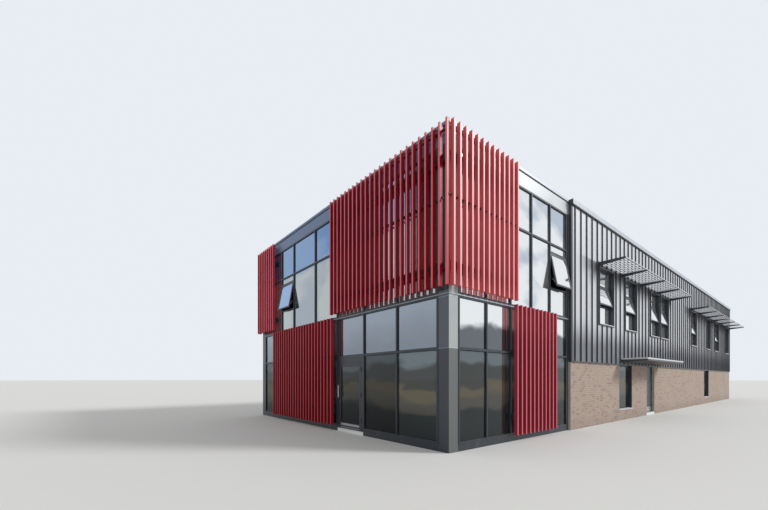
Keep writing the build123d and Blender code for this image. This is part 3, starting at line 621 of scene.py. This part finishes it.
COATED = {
    "red_paint": {"base": fin_base, "roughness": 0.43, "grime": 0.10},
    "dark_frame": {"base": "frame_grey", "roughness": 0.36},
    "fin_rail_paint": {"base": "rail_black", "roughness": 0.5},
    "panel_grey": {"base": panel_base, "roughness": 0.34, "grime": 0.08, "metallic": 0.3},
    "coping_metal": {"base": coping_base, "roughness": 0.4, "metallic": 0.2},
    "trim_paint": {"base": "trim_dark", "roughness": 0.38},
    "sill_metal": {"base": "sill_pale", "roughness": 0.34, "metallic": 0.15},
    "canopy_metal": {"base": canopy_base, "roughness": 0.4},
    "door_paint": {"base": "frame_grey", "roughness": 0.34},
    "seam_metal": {"base": "seam_grey", "roughness": 0.36, "metallic": 0.35},
}
BRUSHED = {"shelf_metal": 0.4, "handle_steel": 0.22}
OTHER_FINISHES = {
    "seamed_cladding": cladding, "buff_brick": mortar, "clear_glass": glazing,
    "concrete": floor_finish, "roof_membrane": roof_finish, "brick_faces": brickwork,
    "gasket_rubber": rubber,
}

_finishes = {}


def finish_called(name):
    """A finished material, made the first time it is asked for."""
    if name not in _finishes:
        if name in COATED:
            _finishes[name] = coated(name, **COATED[name])
        elif name in BRUSHED:
            _finishes[name] = brushed(name, BRUSHED[name])
        else:
            _finishes[name] = OTHER_FINISHES[name]()
    return _finishes[name]


class Side:
    """One side of the building: a level direction along it and the direction out of it."""

    def __init__(self, name, along, outward):
        self.name = name
        self.along = Vector(along)
        self.outward = Vector(outward)

    def span(self, box):
        """Where a box begins and ends along the side."""
        return tuple(sorted(corner.dot(self.along) for corner in box))

    def face(self, box):
        """How far out the box reaches."""
        return max(corner.dot(self.outward) for corner in box)

    def back(self, box):
        """How far out the box begins."""
        return min(corner.dot(self.outward) for corner in box)

    def proud(self, box, depth):
        """The stretch from the face of a box to a depth in front of it."""
        return self.face(box), self.face(box) + depth

    def point(self, place, out, level):
        """The point at a place along the side, so far out and so high."""
        return self.along * place + self.outward * out + UP * level

    def block(self, mesh, along, rise, out):
        """Adds a box to a mesh, given as a stretch along, up and out of the side."""
        ends = [self.point(along[end], out[end], rise[end]) for end in (0, 1)]
        block(mesh, *ends)

    def ring(self, mesh, along, rise, width, out):
        """Adds four bars that follow a rectangle from the inside, the uprights at full height."""
        within = (along[0] + width, along[1] - width)
        for stretch in ((along[0], within[0]), (within[1], along[1])):
            self.block(mesh, stretch, rise, out)
        for level in (rise[0], rise[1] - width):
            self.block(mesh, within, (level, level + width), out)


SOUTH = Side("south", (1, 0, 0), (0, -1, 0))
EAST = Side("east", (0, 1, 0), (1, 0, 0))
WEST = Side("west", (0, 1, 0), (-1, 0, 0))
NORTH = Side("north", (1, 0, 0), (0, 1, 0))

CLAD_WALLS = [(EAST, "east_clad_wall"), (WEST, "west_clad_wall"), (NORTH, "north_clad_wall")]
BRICK_WALLS = [
    (EAST, "east_brick_wall_south"), (EAST, "east_brick_wall_north"),
    (WEST, "west_brick_wall"), (NORTH, "north_brick_wall"),
]
CURTAINS = [
    (SOUTH, "south_glass", "south_upper_frame"), (EAST, "east_front_glass", "east_front_frame"),
    (WEST, "west_front_glass", "west_front_frame"),
]
FIN_NODES = [
    "south_upper_fins", "east_upper_fins", "southwest_fins", "south_ground_fins",
    "east_ground_fins",
]


def block(mesh, first, second):
    """Adds a box between two opposite corners to a mesh."""
    size = second - first
    scale = Matrix.Diagonal((abs(size.x), abs(size.y), abs(size.z), 1))
    bmesh.ops.create_cube(mesh, size=1, matrix=Matrix.Translation((first + second) / 2) @ scale)


def rod(mesh, first, second, radius, sides=8):
    """Adds a round bar between two points to a mesh."""
    way = second - first
    turn = way.to_track_quat("Z", "Y").to_matrix().to_4x4()
    bmesh.ops.create_cone(
        mesh, cap_ends=True, segments=sides, radius1=radius, radius2=radius,
        depth=way.length, matrix=Matrix.Translation((first + second) / 2) @ turn,
    )


def soften(mesh, radius=0.002, segments=1):
    """Rounds every sharp edge of a mesh."""
    sharp = [
        edge for edge in mesh.edges
        if len(edge.link_faces) == 2 and edge.calc_face_angle() > math.radians(30)
    ]
    bmesh.ops.bevel(
        mesh, geom=sharp, offset=radius, segments=segments, profile=0.5,
        affect="EDGES", material=-1, clamp_overlap=True,
    )


def piece(name, mesh, finish, body="building"):
    """Turns a bmesh into an object of the scene that rides on a body."""
    bmesh.ops.recalc_face_normals(mesh, faces=mesh.faces)
    data = bpy.data.meshes.new(name)
    mesh.to_mesh(data)
    mesh.free()
    data.materials.append(finish_called(finish))
    made = bpy.data.objects.new(name, data)
    bpy.context.scene.collection.objects.link(made)
    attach(made, body)
    return made


def merged(node):
    """A bmesh of a node of the frame, with its points joined."""
    mesh = bmesh.new()
    mesh.from_mesh(frame["nodes"][node].data)
    bmesh.ops.remove_doubles(mesh, verts=mesh.verts, dist=MERGE_DISTANCE)
    return mesh


_found = {}


def solids(node):
    """The boxes of the separate solids of a node, sorted, as lowest and highest corners."""
    if node in _found:
        return _found[node]
    mesh = merged(node)
    seen = set()
    boxes = []
    for start in mesh.verts:
        if start in seen:
            continue
        waiting = [start]
        seen.add(start)
        places = []
        while waiting:
            vertex = waiting.pop()
            places.append(vertex.co.copy())
            for edge in vertex.link_edges:
                other = edge.other_vert(vertex)
                if other not in seen:
                    seen.add(other)
                    waiting.append(other)
        boxes.append(tuple(
            Vector([pick(place[axis] for place in places) for axis in range(3)])
            for pick in (min, max)
        ))
    mesh.free()
    _found[node] = sorted(boxes, key=lambda box: tuple(box[0]))
    return _found[node]


def heights(box):
    """Bottom and top of a box."""
    return box[0].z, box[1].z


def around(middle, half):
    """The stretch that reaches half as far to each side of its middle."""
    return middle - half, middle + half


def parted(start, end, count):
    """The places that part a length evenly into a number of bays."""
    return [start + number * (end - start) / count for number in range(1, count)]


def side_of(box):
    """The side of the building that a box lies on."""
    middle = (box[0] + box[1]) / 2
    if middle.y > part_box("north_clad_wall")[0].y:
        return NORTH
    if middle.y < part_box("south_upper_frame")[1].y:
        return SOUTH
    return EAST if middle.x > 0 else WEST


def windows_on(side):
    """The boxes of the windows on one side."""
    return [box for box in solids("window_frames") if side_of(box) is side]


def fin_side(fin):
    """The side that a fin stands off, which is the way it is deepest."""
    size = fin[1] - fin[0]
    if size.x < size.y:
        return SOUTH
    return EAST if fin[0].x > 0 else WEST


def wall_span(side, node):
    """Where a wall's outer face begins and ends; the rear walls pass the ends of the others."""
    if side is not NORTH:
        return side.span(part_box(node))
    neighbour = "east_clad_wall" if node == "north_clad_wall" else "east_brick_wall_north"
    reach = EAST.face(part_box(neighbour))
    return -reach, reach


def clear_runs(start, end, blocked):
    """The stretches from start to end that the blocked ones leave free."""
    shortest = 1e-4
    runs = []
    place = start
    for low, high in sorted(blocked):
        if low > place:
            runs.append((place, min(low, end)))
        place = max(place, high)
    if place < end:
        runs.append((place, end))
    return [run for run in runs if run[1] - run[0] > shortest]


class StationOperator(bpy.types.Operator):
    """Shared by the operators of this panel."""

    bl_options = {"REGISTER"}

    @property
    def sizes(self):
        return bpy.context.scene.station_sizes


class STATION_OT_finishes(StationOperator):
    """Gives every part of the frame its finish"""

    bl_idname = "station.finishes"
    bl_label = "Frame finishes"

    def execute(self, context):
        for part in frame["record"]["subparts"]:
            for holder in frame["nodes"][part["node"]].material_slots:
                holder.material = finish_called(part["material_slot"])
        return {"FINISHED"}


class STATION_OT_fins(StationOperator):
    """Fins with rounded edges and caps on their ends"""

    bl_idname = "station.fins"
    bl_label = "Fins"

    def execute(self, context):
        cap_gap = 0.0015
        cap_thickness = 0.004
        thick = UP * cap_thickness
        for node in FIN_NODES:
            blades = bmesh.new()
            for low, high in solids(node):
                ends = thick + UP * cap_gap
                block(blades, low + ends, high - ends)
                level = UP * (high.z - low.z)
                block(blades, low, high - level + thick)
                block(blades, low + level - thick, high)
            soften(blades, cap_thickness / 3)
            made = piece(node + "_capped", blades, "red_paint")
            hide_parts(node)
        return {"FINISHED"}


class STATION_OT_fin_arms(StationOperator):
    """Short arms that tie the upper fins to the transom of the curtain walls"""

    bl_idname = "station.fin_arms"
    bl_label = "Fin arms"

    def execute(self, context):
        half_width = 0.008
        half_height = 0.022
        head_radius = 0.013
        head_depth = 0.016
        level = FIN_ARM_LEVEL
        arms = bmesh.new()
        for side, node, hand in ((SOUTH, "south_upper_fins", 1), (EAST, "east_upper_fins", -1)):
            face = side.face(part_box("corner_posts"))
            for fin in solids(node):
                edge = side.span(fin)[1] if hand > 0 else side.span(fin)[0]
                middle = side.back(fin) + half_height
                across = (edge, edge + hand * 2 * half_width)
                out = (face, middle + half_height)
                side.block(arms, across, around(level, half_height), out)
                side.block(arms, across, (level, TRANSOM_LEVEL), (face, face + half_width))
                head = side.point(edge + hand * half_width, middle, level)
                rod(arms, head, head + side.along * (hand * head_depth), head_radius, sides=6)
        soften(arms)
        piece("fin_arms", arms, "fin_rail_paint")
        return {"FINISHED"}


class STATION_OT_fin_cleats(StationOperator):
    """Angle cleats with screws that hold each fin to its rails"""

    bl_idname = "station.fin_cleats"
    bl_label = "Fin cleats"

    def execute(self, context):
        leg = 0.035
        screw_share = 0.6
        thickness = 0.004
        height = 0.06
        head_radius = 0.006
        head_depth = 0.003
        widest_gap = 0.01
        cleats = bmesh.new()
        for fin in [fin for node in FIN_NODES for fin in solids(node)]:
            side = fin_side(fin)
            start, end = side.span(fin)
            back = side.back(fin)
            front = back + thickness
            for rail in solids("fin_rails"):
                rail_start, rail_end = side.span(rail)
                bottom, top = heights(rail)
                crosses = rail_start < start and end < rail_end and fin[0].z < bottom < fin[1].z
                touches = abs(side.face(rail) - back) <= widest_gap
                runs_along = rail_end - rail_start > side.face(rail) - side.back(rail)
                if not (crosses and touches and runs_along) or top - bottom <= height:
                    continue
                middle = (bottom + top) / 2
                tall = around(middle, height / 2)
                side.block(cleats, (end, end + leg), tall, (back, front))
                side.block(cleats, (end, end + thickness), tall, (front, back + leg))
                for level in around(middle, height / 4):
                    base = side.point(end + leg * screw_share, front, level)
                    rod(cleats, base, base + side.outward * head_depth, head_radius, sides=6)
        piece("fin_cleats", cleats, "fin_rail_paint")
        return {"FINISHED"}


class STATION_OT_seams(StationOperator):
    """Standing seams of the cladding, stopped at the windows"""

    bl_idname = "station.seams"
    bl_label = "Standing seams"

    def execute(self, context):
        half_web = 0.004
        bulb = 0.011
        margin = 0.045
        foot_gap = 0.035
        head_gap = 0.01
        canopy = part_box("door_canopy")
        for side, node in CLAD_WALLS:
            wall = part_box(node)
            start, end = wall_span(side, node)
            web = side.proud(wall, self.sizes.seam_height - bulb)
            count = round((end - start) / self.sizes.seam_pitch)
            pitch = (end - start) / count
            seams = bmesh.new()
            for number in range(count):
                place = start + (number + 0.5) * pitch
                blocked = [
                    (box[0].z - margin, box[1].z + margin) for box in windows_on(side)
                    if side.span(box)[0] - margin < place < side.span(box)[1] + margin
                ]
                if side is EAST and canopy[0].y < place < canopy[1].y:
                    blocked.append(heights(canopy))
                runs = clear_runs(wall[0].z + foot_gap, wall[1].z - head_gap, blocked)
                for run in runs:
                    side.block(seams, around(place, half_web), run, web)
                    foot, head = (side.point(place, web[1], level) for level in run)
                    rod(seams, foot, head, bulb)
            piece(node + "_seams", seams, "seam_metal")
        return {"FINISHED"}


class STATION_OT_window_closures(StationOperator):
    """Folded surrounds that close the cladding round each window, and linings of the reveals"""

    bl_idname = "station.window_closures"
    bl_label = "Window surrounds"

    def execute(self, context):
        width = 0.04
        sheet = 0.003
        walls = {side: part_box(node) for side, node in CLAD_WALLS}
        low_walls = {side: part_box(node) for side, node in BRICK_WALLS}
        surrounds = bmesh.new()
        linings = bmesh.new()
        for box in solids("window_frames"):
            side = side_of(box)
            start, end = side.span(box)
            bottom, top = heights(box)
            upper = bottom > walls[side][0].z
            wall = (walls if upper else low_walls)[side]
            depth = (side.face(box), side.face(wall))
            for stretch in ((start, start + sheet), (end - sheet, end)):
                side.block(linings, stretch, (bottom, top), depth)
            side.block(linings, (start, end), (top - sheet, top), depth)
            if upper:
                side.ring(
                    surrounds, (start - width, end + width), (bottom - width, top + width),
                    width, side.proud(wall, self.sizes.seam_height),
                )
        soften(surrounds)
        piece("window_surrounds", surrounds, "trim_paint")
        piece("reveal_linings", linings, "trim_paint")
        return {"FINISHED"}


class STATION_OT_bricks(StationOperator):
    """Courses of real bricks in stretcher bond on every brick wall"""

    bl_idname = "station.bricks"
    bl_label = "Bricks"

    def execute(self, context):
        sizes = self.sizes
        pitch = sizes.brick_length + sizes.joint
        course = sizes.brick_height + sizes.joint
        shortest = 0.045
        arris = 0.0025
        facing = 0.9
        for side, node in BRICK_WALLS:
            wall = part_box(node)
            out = side.proud(wall, sizes.brick_proud)
            bricks = bmesh.new()
            for row in range(int((wall[1].z - wall[0].z) / course)):
                shift = (row % 2) * 0.5
                bottom = wall[0].z + row * course + sizes.joint / 2
                top = bottom + sizes.brick_height
                blocked = [
                    side.span(box) for box in windows_on(side)
                    if box[0].z < top and bottom < box[1].z
                ]
                for start, end in clear_runs(*wall_span(side, node), blocked):
                    first = math.floor(start / pitch + shift)
                    last = math.ceil(end / pitch + shift)
                    for column in range(first, last + 1):
                        left = (column - shift) * pitch + sizes.joint / 2
                        right = min(left + sizes.brick_length, end)
                        left = max(left, start)
                        if right - left >= shortest:
                            side.block(bricks, (left, right), (bottom, top), out)
            hidden = [
                found for found in bricks.faces if found.normal.dot(side.outward) < -facing
            ]
            bmesh.ops.delete(bricks, geom=hidden, context="FACES_ONLY")
            rims = [
                edge for edge in bricks.edges
                if len(edge.link_faces) == 2
                and any(found.normal.dot(side.outward) > facing for found in edge.link_faces)
            ]
            bmesh.ops.bevel(
                bricks, geom=rims, offset=arris, segments=1, profile=0.5,
                affect="EDGES", material=-1,
            )
            piece(node + "_bricks", bricks, "brick_faces")
        return {"FINISHED"}


class STATION_OT_weep_vents(StationOperator):
    """Weep vents in the upright joints of one low course"""

    bl_idname = "station.weep_vents"
    bl_label = "Weep vents"

    def execute(self, context):
        spacing = 0.9
        half_width = 0.005
        grille = 0.001
        depth = self.sizes.brick_proud + grille
        bottom = (self.sizes.brick_height + self.sizes.joint) * 2
        rise = (bottom, bottom + self.sizes.brick_height)
        vents = bmesh.new()
        for side, node in BRICK_WALLS:
            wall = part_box(node)
            start, end = side.span(wall)
            for place in parted(start, end, int((end - start) / spacing)):
                side.block(vents, around(place, half_width), rise, side.proud(wall, depth))
        piece("weep_vents", vents, "gasket_rubber")
        return {"FINISHED"}


def columns(side, node):
    """Panes of a curtain wall, grouped by the bay that they are in, from the ground up."""
    bays = {}
    for box in solids(node):
        start, end = side.span(box)
        bays.setdefault((round(start, 3), round(end, 3)), []).append(box)
    return [
        (span, sorted(panes, key=lambda box: box[0].z)) for span, panes in sorted(bays.items())
    ]


class STATION_OT_caps(StationOperator):
    """Cover caps on the bars of the curtain walls"""

    bl_idname = "station.caps"
    bl_label = "Cover caps"

    def execute(self, context):
        half = self.sizes.cap_width / 2
        half_bar = 0.03
        widest_bar = 0.2
        tuck = 0.004
        overrun = 0.055
        low_share = 0.6
        for side, glass, bars in CURTAINS:
            bays = columns(side, glass)
            out = side.proud(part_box(bars), self.sizes.cap_depth)
            low_out = side.proud(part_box(bars), self.sizes.cap_depth * low_share)
            lowest = min(panes[0][0].z for _, panes in bays)
            highest = max(panes[-1][1].z for _, panes in bays)
            caps = bmesh.new()
            lines = set()
            for (start, end), panes in bays:
                lines |= {round(start - half_bar, 3), round(end + half_bar, 3)}
                levels = [lowest - half_bar, highest + half_bar]
                for below, above in zip(panes, panes[1:]):
                    if above[0].z - below[1].z < widest_bar:
                        levels.append((below[1].z + above[0].z) / 2)
                for level in sorted(levels):
                    side.block(caps, (start - tuck, end + tuck), around(level, half), low_out)
            for line in sorted(lines):
                side.block(caps, around(line, half), (lowest - overrun, highest + overrun), out)
            soften(caps)
            piece(side.name + "_cover_caps", caps, "dark_frame")
        return {"FINISHED"}


GASKET_DEPTH = 0.004


def add_gasket(mesh, side, pane):
    """Adds the rubber round the edge of a pane."""
    width = bpy.context.scene.station_sizes.gasket
    side.ring(mesh, side.span(pane), heights(pane), width, side.proud(pane, GASKET_DEPTH))


class STATION_OT_gaskets(StationOperator):
    """Rubber gaskets round the panes of curtain walls and windows"""

    bl_idname = "station.gaskets"
    bl_label = "Gaskets"

    def execute(self, context):
        for name, nodes in (
            ("curtain_gaskets", [glass for _, glass, _ in CURTAINS]),
            ("window_gaskets", ["window_glass"]),
        ):
            gaskets = bmesh.new()
            for pane in [pane for node in nodes for pane in solids(node)]:
                add_gasket(gaskets, side_of(pane), pane)
            piece(name, gaskets, "gasket_rubber")
        return {"FINISHED"}


def front_band(mesh, rise, depth, corner=0.0):
    """Adds a band round the three glazed sides, which meets this far past the front corners."""
    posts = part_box("corner_posts")
    start, end = SOUTH.span(posts)
    SOUTH.block(mesh, (start - corner, end + corner), rise, SOUTH.proud(posts, depth))
    for side in (EAST, WEST):
        reach = (-SOUTH.face(posts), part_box("east_front_frame")[1].y)
        side.block(mesh, reach, rise, side.proud(posts, depth))


class STATION_OT_flashings(StationOperator):
    """Pale flashing at the storey line, joints of the corner posts and the shadow gap, a dark
    strip that is partly painted shade.
    """

    bl_idname = "station.flashings"
    bl_label = "Flashings"

    def execute(self, context):
        ledge = 0.022
        ledge_top = 0.003
        joint_drop = 0.07
        half_joint = 0.006
        strip = 0.004
        gap_height = 0.03
        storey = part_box("south_upper_frame")[0].z
        pale = bmesh.new()
        front_band(pale, (storey - ledge, storey + ledge_top), ledge, corner=ledge)
        soften(pale)
        piece("storey_flashing", pale, "coping_metal")
        joints = bmesh.new()
        for post in solids("corner_posts"):
            for side in (EAST if post[0].x > 0 else WEST, SOUTH):
                out = side.proud(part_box("corner_posts"), strip)
                for level in (POST_JOINT, storey - joint_drop):
                    side.block(joints, side.span(post), around(level, half_joint), out)
        piece("post_joints", joints, "coping_metal")
        # Dark strips under the copings: a closure strip, made dark to stand in for the coping's
        # shadow, so partly painted shade.
        gaps = bmesh.new()
        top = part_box("front_fascia")[1].z
        front_band(gaps, (top - gap_height, top), strip)
        for side, node in CLAD_WALLS:
            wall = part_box(node)
            rise = (wall[1].z - gap_height, wall[1].z)
            out = side.proud(wall, self.sizes.seam_height)
            side.block(gaps, wall_span(side, node), rise, out)
        piece("shadow_gaps", gaps, "gasket_rubber")
        return {"FINISHED"}


class STATION_OT_copings(StationOperator):
    """Copings with folded edges and butt straps over their joints"""

    bl_idname = "station.copings"
    bl_label = "Copings"

    def execute(self, context):
        fold_radius = 0.006
        strap_rise = 0.0015
        half_strap = 0.05
        flat = math.radians(0.5)
        whole = merged("roof_copings")
        bmesh.ops.dissolve_limit(whole, angle_limit=flat, verts=whole.verts, edges=whole.edges)
        straps = bmesh.new()
        low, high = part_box("roof_copings")
        for along in (Vector((1, 0, 0)), Vector((0, 1, 0))):
            start, end = low.dot(along), high.dot(along)
            for place in parted(start, end, round((end - start) / self.sizes.strap_pitch)):
                strap = whole.copy()
                for way in (-1, 1):
                    everything = [*strap.verts, *strap.edges, *strap.faces]
                    bmesh.ops.bisect_plane(
                        strap, geom=everything, plane_co=along * (place + way * half_strap),
                        plane_no=along * way, clear_outer=True,
                    )
                bmesh.ops.holes_fill(strap, edges=strap.edges)
                data = bpy.data.meshes.new("strap")
                strap.to_mesh(data)
                strap.free()
                straps.from_mesh(data)
                bpy.data.meshes.remove(data)
        soften(whole, fold_radius, segments=2)
        for vertex in whole.verts:
            vertex.co -= vertex.normal * strap_rise
        made = piece("roof_copings_folded", whole, "coping_metal")
        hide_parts("roof_copings")
        piece("coping_straps", straps, "coping_metal")
        return {"FINISHED"}


class STATION_OT_roof(StationOperator):
    """Welded laps of the roof sheets and a termination bar round the parapet"""

    bl_idname = "station.roof"
    bl_label = "Roof"

    def execute(self, context):
        half_lap = 0.03
        lap_rise = 0.004
        bar_thickness = 0.004
        bar_height = 0.03
        bar_lift = 0.15
        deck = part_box("roof_deck")
        low, high = deck
        laps = bmesh.new()
        for place in parted(low.x, high.x, round((high.x - low.x) / self.sizes.lap_pitch)):
            start, end = around(place, half_lap)
            block(laps, Vector((start, low.y, high.z)), Vector((end, high.y, high.z + lap_rise)))
        soften(laps, lap_rise / 4)
        piece("roof_laps", laps, "roof_membrane")
        bars = bmesh.new()
        level = high.z + bar_lift
        for side in (WEST, EAST, SOUTH, NORTH):
            out = (side.face(deck) - bar_thickness, side.face(deck))
            side.block(bars, side.span(deck), (level, level + bar_height), out)
        piece("parapet_bars", bars, "coping_metal")
        return {"FINISHED"}


class STATION_OT_brackets(StationOperator):
    """Wall plates and bolts of the sun shelves, edge and joints of the canopy"""

    bl_idname = "station.brackets"
    bl_label = "Shelf and canopy brackets"

    def execute(self, context):
        self.fix_shelves()
        self.trim_canopy()
        return {"FINISHED"}

    def fix_shelves(self):
        plate = 0.010
        half_width = 0.075
        overlap = 0.05
        bolt_offset = 0.052
        bolt_rise = 0.025
        bolt_depth = 0.009
        bolt_radius = 0.011
        out = EAST.proud(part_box("east_clad_wall"), plate)
        plates = bmesh.new()
        heads = bmesh.new()
        for low, high in solids("shelf_arms"):
            middle = (low.y + high.y) / 2
            rise = (low.z - overlap, high.z + overlap)
            EAST.block(plates, around(middle, half_width), rise, out)
            for across in around(middle, bolt_offset):
                for level in (low.z - bolt_rise, high.z + bolt_rise):
                    base = EAST.point(across, out[1], level)
                    rod(heads, base, base + EAST.outward * bolt_depth, bolt_radius, sides=6)
        soften(plates)
        piece("shelf_wall_plates", plates, "trim_paint")
        piece("shelf_bolt_heads", heads, "handle_steel")

    def trim_canopy(self):
        edge_width = 0.03
        edge_height = 0.02
        bays = 5
        rim = 0.05
        joint_radius = 0.003
        near_front = 0.001
        low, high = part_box("door_canopy")
        rise = (high.z, high.z + edge_height)
        inner = high.x - edge_width
        trim = bmesh.new()
        EAST.block(trim, (low.y, high.y), rise, (inner, high.x))
        for end in (low.y, high.y - edge_width):
            EAST.block(trim, (end, end + edge_width), rise, (low.x, inner))
        soften(trim)
        piece("canopy_edge", trim, "sill_metal")
        joints = bmesh.new()
        corners = [vertex.co for vertex in frame["nodes"]["door_canopy"].data.vertices]
        front_foot = min(place.z for place in corners if place.x > high.x - near_front)
        slope = (front_foot - low.z) / (high.x - low.x)
        for place in parted(low.y, high.y, bays):
            front = EAST.point(place, high.x - rim, front_foot - slope * rim)
            rod(joints, EAST.point(place, low.x, low.z), front, joint_radius, sides=6)
        piece("canopy_soffit_joints", joints, "gasket_rubber")


class STATION_OT_stays(StationOperator):
    """Stays that hold the tilted vents open"""

    bl_idname = "station.stays"
    bl_label = "Vent stays"

    def execute(self, context):
        radius = 0.005
        inset = 0.02
        front_inset = 0.03
        front_lift = 0.05
        pivot_share = 0.34
        stays = bmesh.new()
        for box in solids("open_vent_sashes"):
            side = side_of(box)
            start, end = side.span(box)
            foot, head = heights(box)
            for place in (start + inset, end - inset):
                pivot = foot + (head - foot) * pivot_share
                inner = side.point(place, side.back(box) + inset, pivot)
                outer = side.point(place, side.face(box) - front_inset, foot + front_lift)
                rod(stays, inner, outer, radius, sides=6)
        piece("vent_stays", stays, "handle_steel")
        return {"FINISHED"}


KICK_THICKNESS = 0.0015
KICK_LIFT = 0.03


def add_lock(mesh, side, centre, collar, barrel):
    """Adds a collar and a key barrel, each given as radius and depth, to a door."""
    for (radius, depth), sides in ((collar, 24), (barrel, 16)):
        rod(mesh, centre, centre + side.outward * depth, radius, sides)


class STATION_OT_entrance_fittings(StationOperator):
    """Kick plate, lock and seals of the entrance door"""

    bl_idname = "station.entrance_fittings"
    bl_label = "Entrance fittings"

    def execute(self, context):
        plate_gap = 0.02
        lock_drop = 0.14
        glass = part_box("entrance_door_glass")
        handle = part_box("entrance_door_handle")
        out = SOUTH.proud(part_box("door_headers"), KICK_THICKNESS)
        rise = (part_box("entrance_door")[0].z + KICK_LIFT, glass[0].z - plate_gap)
        steel = bmesh.new()
        SOUTH.block(steel, SOUTH.span(glass), rise, out)
        middle = (handle[0].x + handle[1].x) / 2
        centre = SOUTH.point(middle, out[0], handle[0].z - lock_drop)
        add_lock(steel, SOUTH, centre, collar=(0.026, 0.008), barrel=(0.010, 0.012))
        piece("entrance_kick_plate", steel, "handle_steel", "entrance_leaf")
        seals = bmesh.new()
        width = context.scene.station_sizes.gasket
        out = SOUTH.proud(glass, GASKET_DEPTH)
        (left, right), (foot, top) = SOUTH.span(glass), heights(glass)
        for level in (foot, top - width):
            SOUTH.block(seals, (left, right), (level, level + width), out)
        for place in (left, right - width):
            SOUTH.block(seals, (place, place + width), (foot, top), out)
        piece("entrance_seals", seals, "gasket_rubber", "entrance_leaf")
        return {"FINISHED"}


class STATION_OT_side_door_fittings(StationOperator):
    """Kick plate and lock of the side door"""

    bl_idname = "station.side_door_fittings"
    bl_label = "Side door fittings"

    def execute(self, context):
        plate_top = 0.24
        lock_side_gap = 0.04
        hinge_side_gap = 0.06
        lock_inset = 0.026
        lock_drop = 0.09
        low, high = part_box("side_door")
        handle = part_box("side_door_handle")[0]
        across = (low.y + lock_side_gap, high.y - hinge_side_gap)
        rise = (low.z + KICK_LIFT, low.z + plate_top)
        steel = bmesh.new()
        EAST.block(steel, across, rise, (handle.x, handle.x + KICK_THICKNESS))
        centre = EAST.point(handle.y + lock_inset, handle.x, handle.z - lock_drop)
        add_lock(steel, EAST, centre, collar=(0.024, 0.006), barrel=(0.009, 0.010))
        piece("side_door_kick_plate", steel, "handle_steel", "side_leaf")
        return {"FINISHED"}


def pale_world(stage):
    """A plain pale backdrop that camera, gloss and glass see, and soft light for the rest."""
    world = bpy.data.worlds.new("pale_backdrop")
    bpy.context.scene.world = world
    world.use_nodes = True
    graph = Graph(world.node_tree)
    graph.tree.nodes.clear()
    rays = graph.add("ShaderNodeLightPath").outputs
    seen = Number(graph, rays["Is Camera Ray"])
    for name in ("Is Glossy Ray", "Is Transmission Ray"):
        seen = seen.larger(rays[name])

    def glow(shade, strength):
        values = {"Color": tuple(shade), "Strength": strength}
        return graph.add("ShaderNodeBackground", values=values).outputs[0]

    lights = {1: glow((1.0, 1.0, 1.0), stage.sky_strength), 2: glow(stage.backdrop, 1.0)}
    mixed = graph.add("ShaderNodeMixShader", values={0: seen, **lights})
    graph.add("ShaderNodeOutputWorld", values={"Surface": mixed.outputs[0]})


def placed(name, data):
    """A new object in the scene with the given data."""
    made = bpy.data.objects.new(name, data)
    bpy.context.scene.collection.objects.link(made)
    return made


class STATION_OT_stage(StationOperator):
    """Pale floor and backdrop, soft light and the camera"""

    bl_idname = "station.stage"
    bl_label = "Stage"

    def execute(self, context):
        stage = context.scene.station_stage
        towards_lamp = Vector((0.62, 0.60, 0.55))
        pale_world(stage)
        ground = bmesh.new()
        bmesh.ops.create_circle(ground, cap_ends=True, segments=96, radius=stage.ground_radius)
        data = bpy.data.meshes.new("floor")
        ground.to_mesh(data)
        ground.free()
        finish = Finish("pale_floor")
        shade = 1 + finish.noise(3.0, detail=4.0).swing(0.02)
        data.materials.append(finish.made(
            Base_Color=finish.toned(tuple(stage.ground), shade), Roughness=0.9
        ))
        floor = placed("floor", data)
        lamp = bpy.data.lights.new("large_lamp", "SUN")
        lamp.energy = stage.sun_strength
        lamp.angle = stage.sun_size
        large_lamp = placed("large_lamp", lamp)
        large_lamp.rotation_mode = "QUATERNION"
        large_lamp.rotation_quaternion = towards_lamp.to_track_quat("Z", "Y")
        lens = bpy.data.cameras.new("camera")
        lens.lens = stage.lens
        lens.sensor_width = 36
        lens.shift_y = stage.rise
        lens.clip_end = 1000
        camera = placed("camera", lens)
        camera.location = stage.eye
        camera.rotation_euler = (math.radians(90), 0, stage.heading)
        context.scene.camera = camera
        context.scene.view_settings.view_transform = "Standard"
        return {"FINISHED"}


OPERATORS = [
    STATION_OT_finishes, STATION_OT_fins, STATION_OT_fin_arms, STATION_OT_fin_cleats,
    STATION_OT_seams, STATION_OT_window_closures, STATION_OT_bricks, STATION_OT_weep_vents,
    STATION_OT_caps, STATION_OT_gaskets, STATION_OT_flashings, STATION_OT_copings,
    STATION_OT_roof, STATION_OT_brackets, STATION_OT_stays, STATION_OT_entrance_fittings,
    STATION_OT_side_door_fittings, STATION_OT_stage,
]


class STATION_PT_panel(bpy.types.Panel):
    """Lists the steps that dress the fire station"""

    bl_idname = "STATION_PT_panel"
    bl_label = "Fire Station"
    bl_space_type = "VIEW_3D"
    bl_region_type = "UI"
    bl_category = "Fire Station"

    def draw(self, context):
        for step in OPERATORS:
            self.layout.operator(step.bl_idname)


GROUPS = {
    "station_colours": StationColours,
    "station_sizes": StationSizes,
    "station_stage": StationStage,
}


def register():
    for group in GROUPS.values():
        bpy.utils.register_class(group)
    for step in [*OPERATORS, STATION_PT_panel]:
        bpy.utils.register_class(step)
    for name, group in GROUPS.items():
        setattr(bpy.types.Scene, name, PointerProperty(type=group))


def unregister():
    for name in GROUPS:
        delattr(bpy.types.Scene, name)
    for step in [STATION_PT_panel, *reversed(OPERATORS), *reversed(GROUPS.values())]:
        bpy.utils.unregister_class(step)


def main():
    register()
    for step in OPERATORS:
        family, name = step.bl_idname.split(".")
        getattr(getattr(bpy.ops, family), name)()


if __name__ == "__main__":
    main()
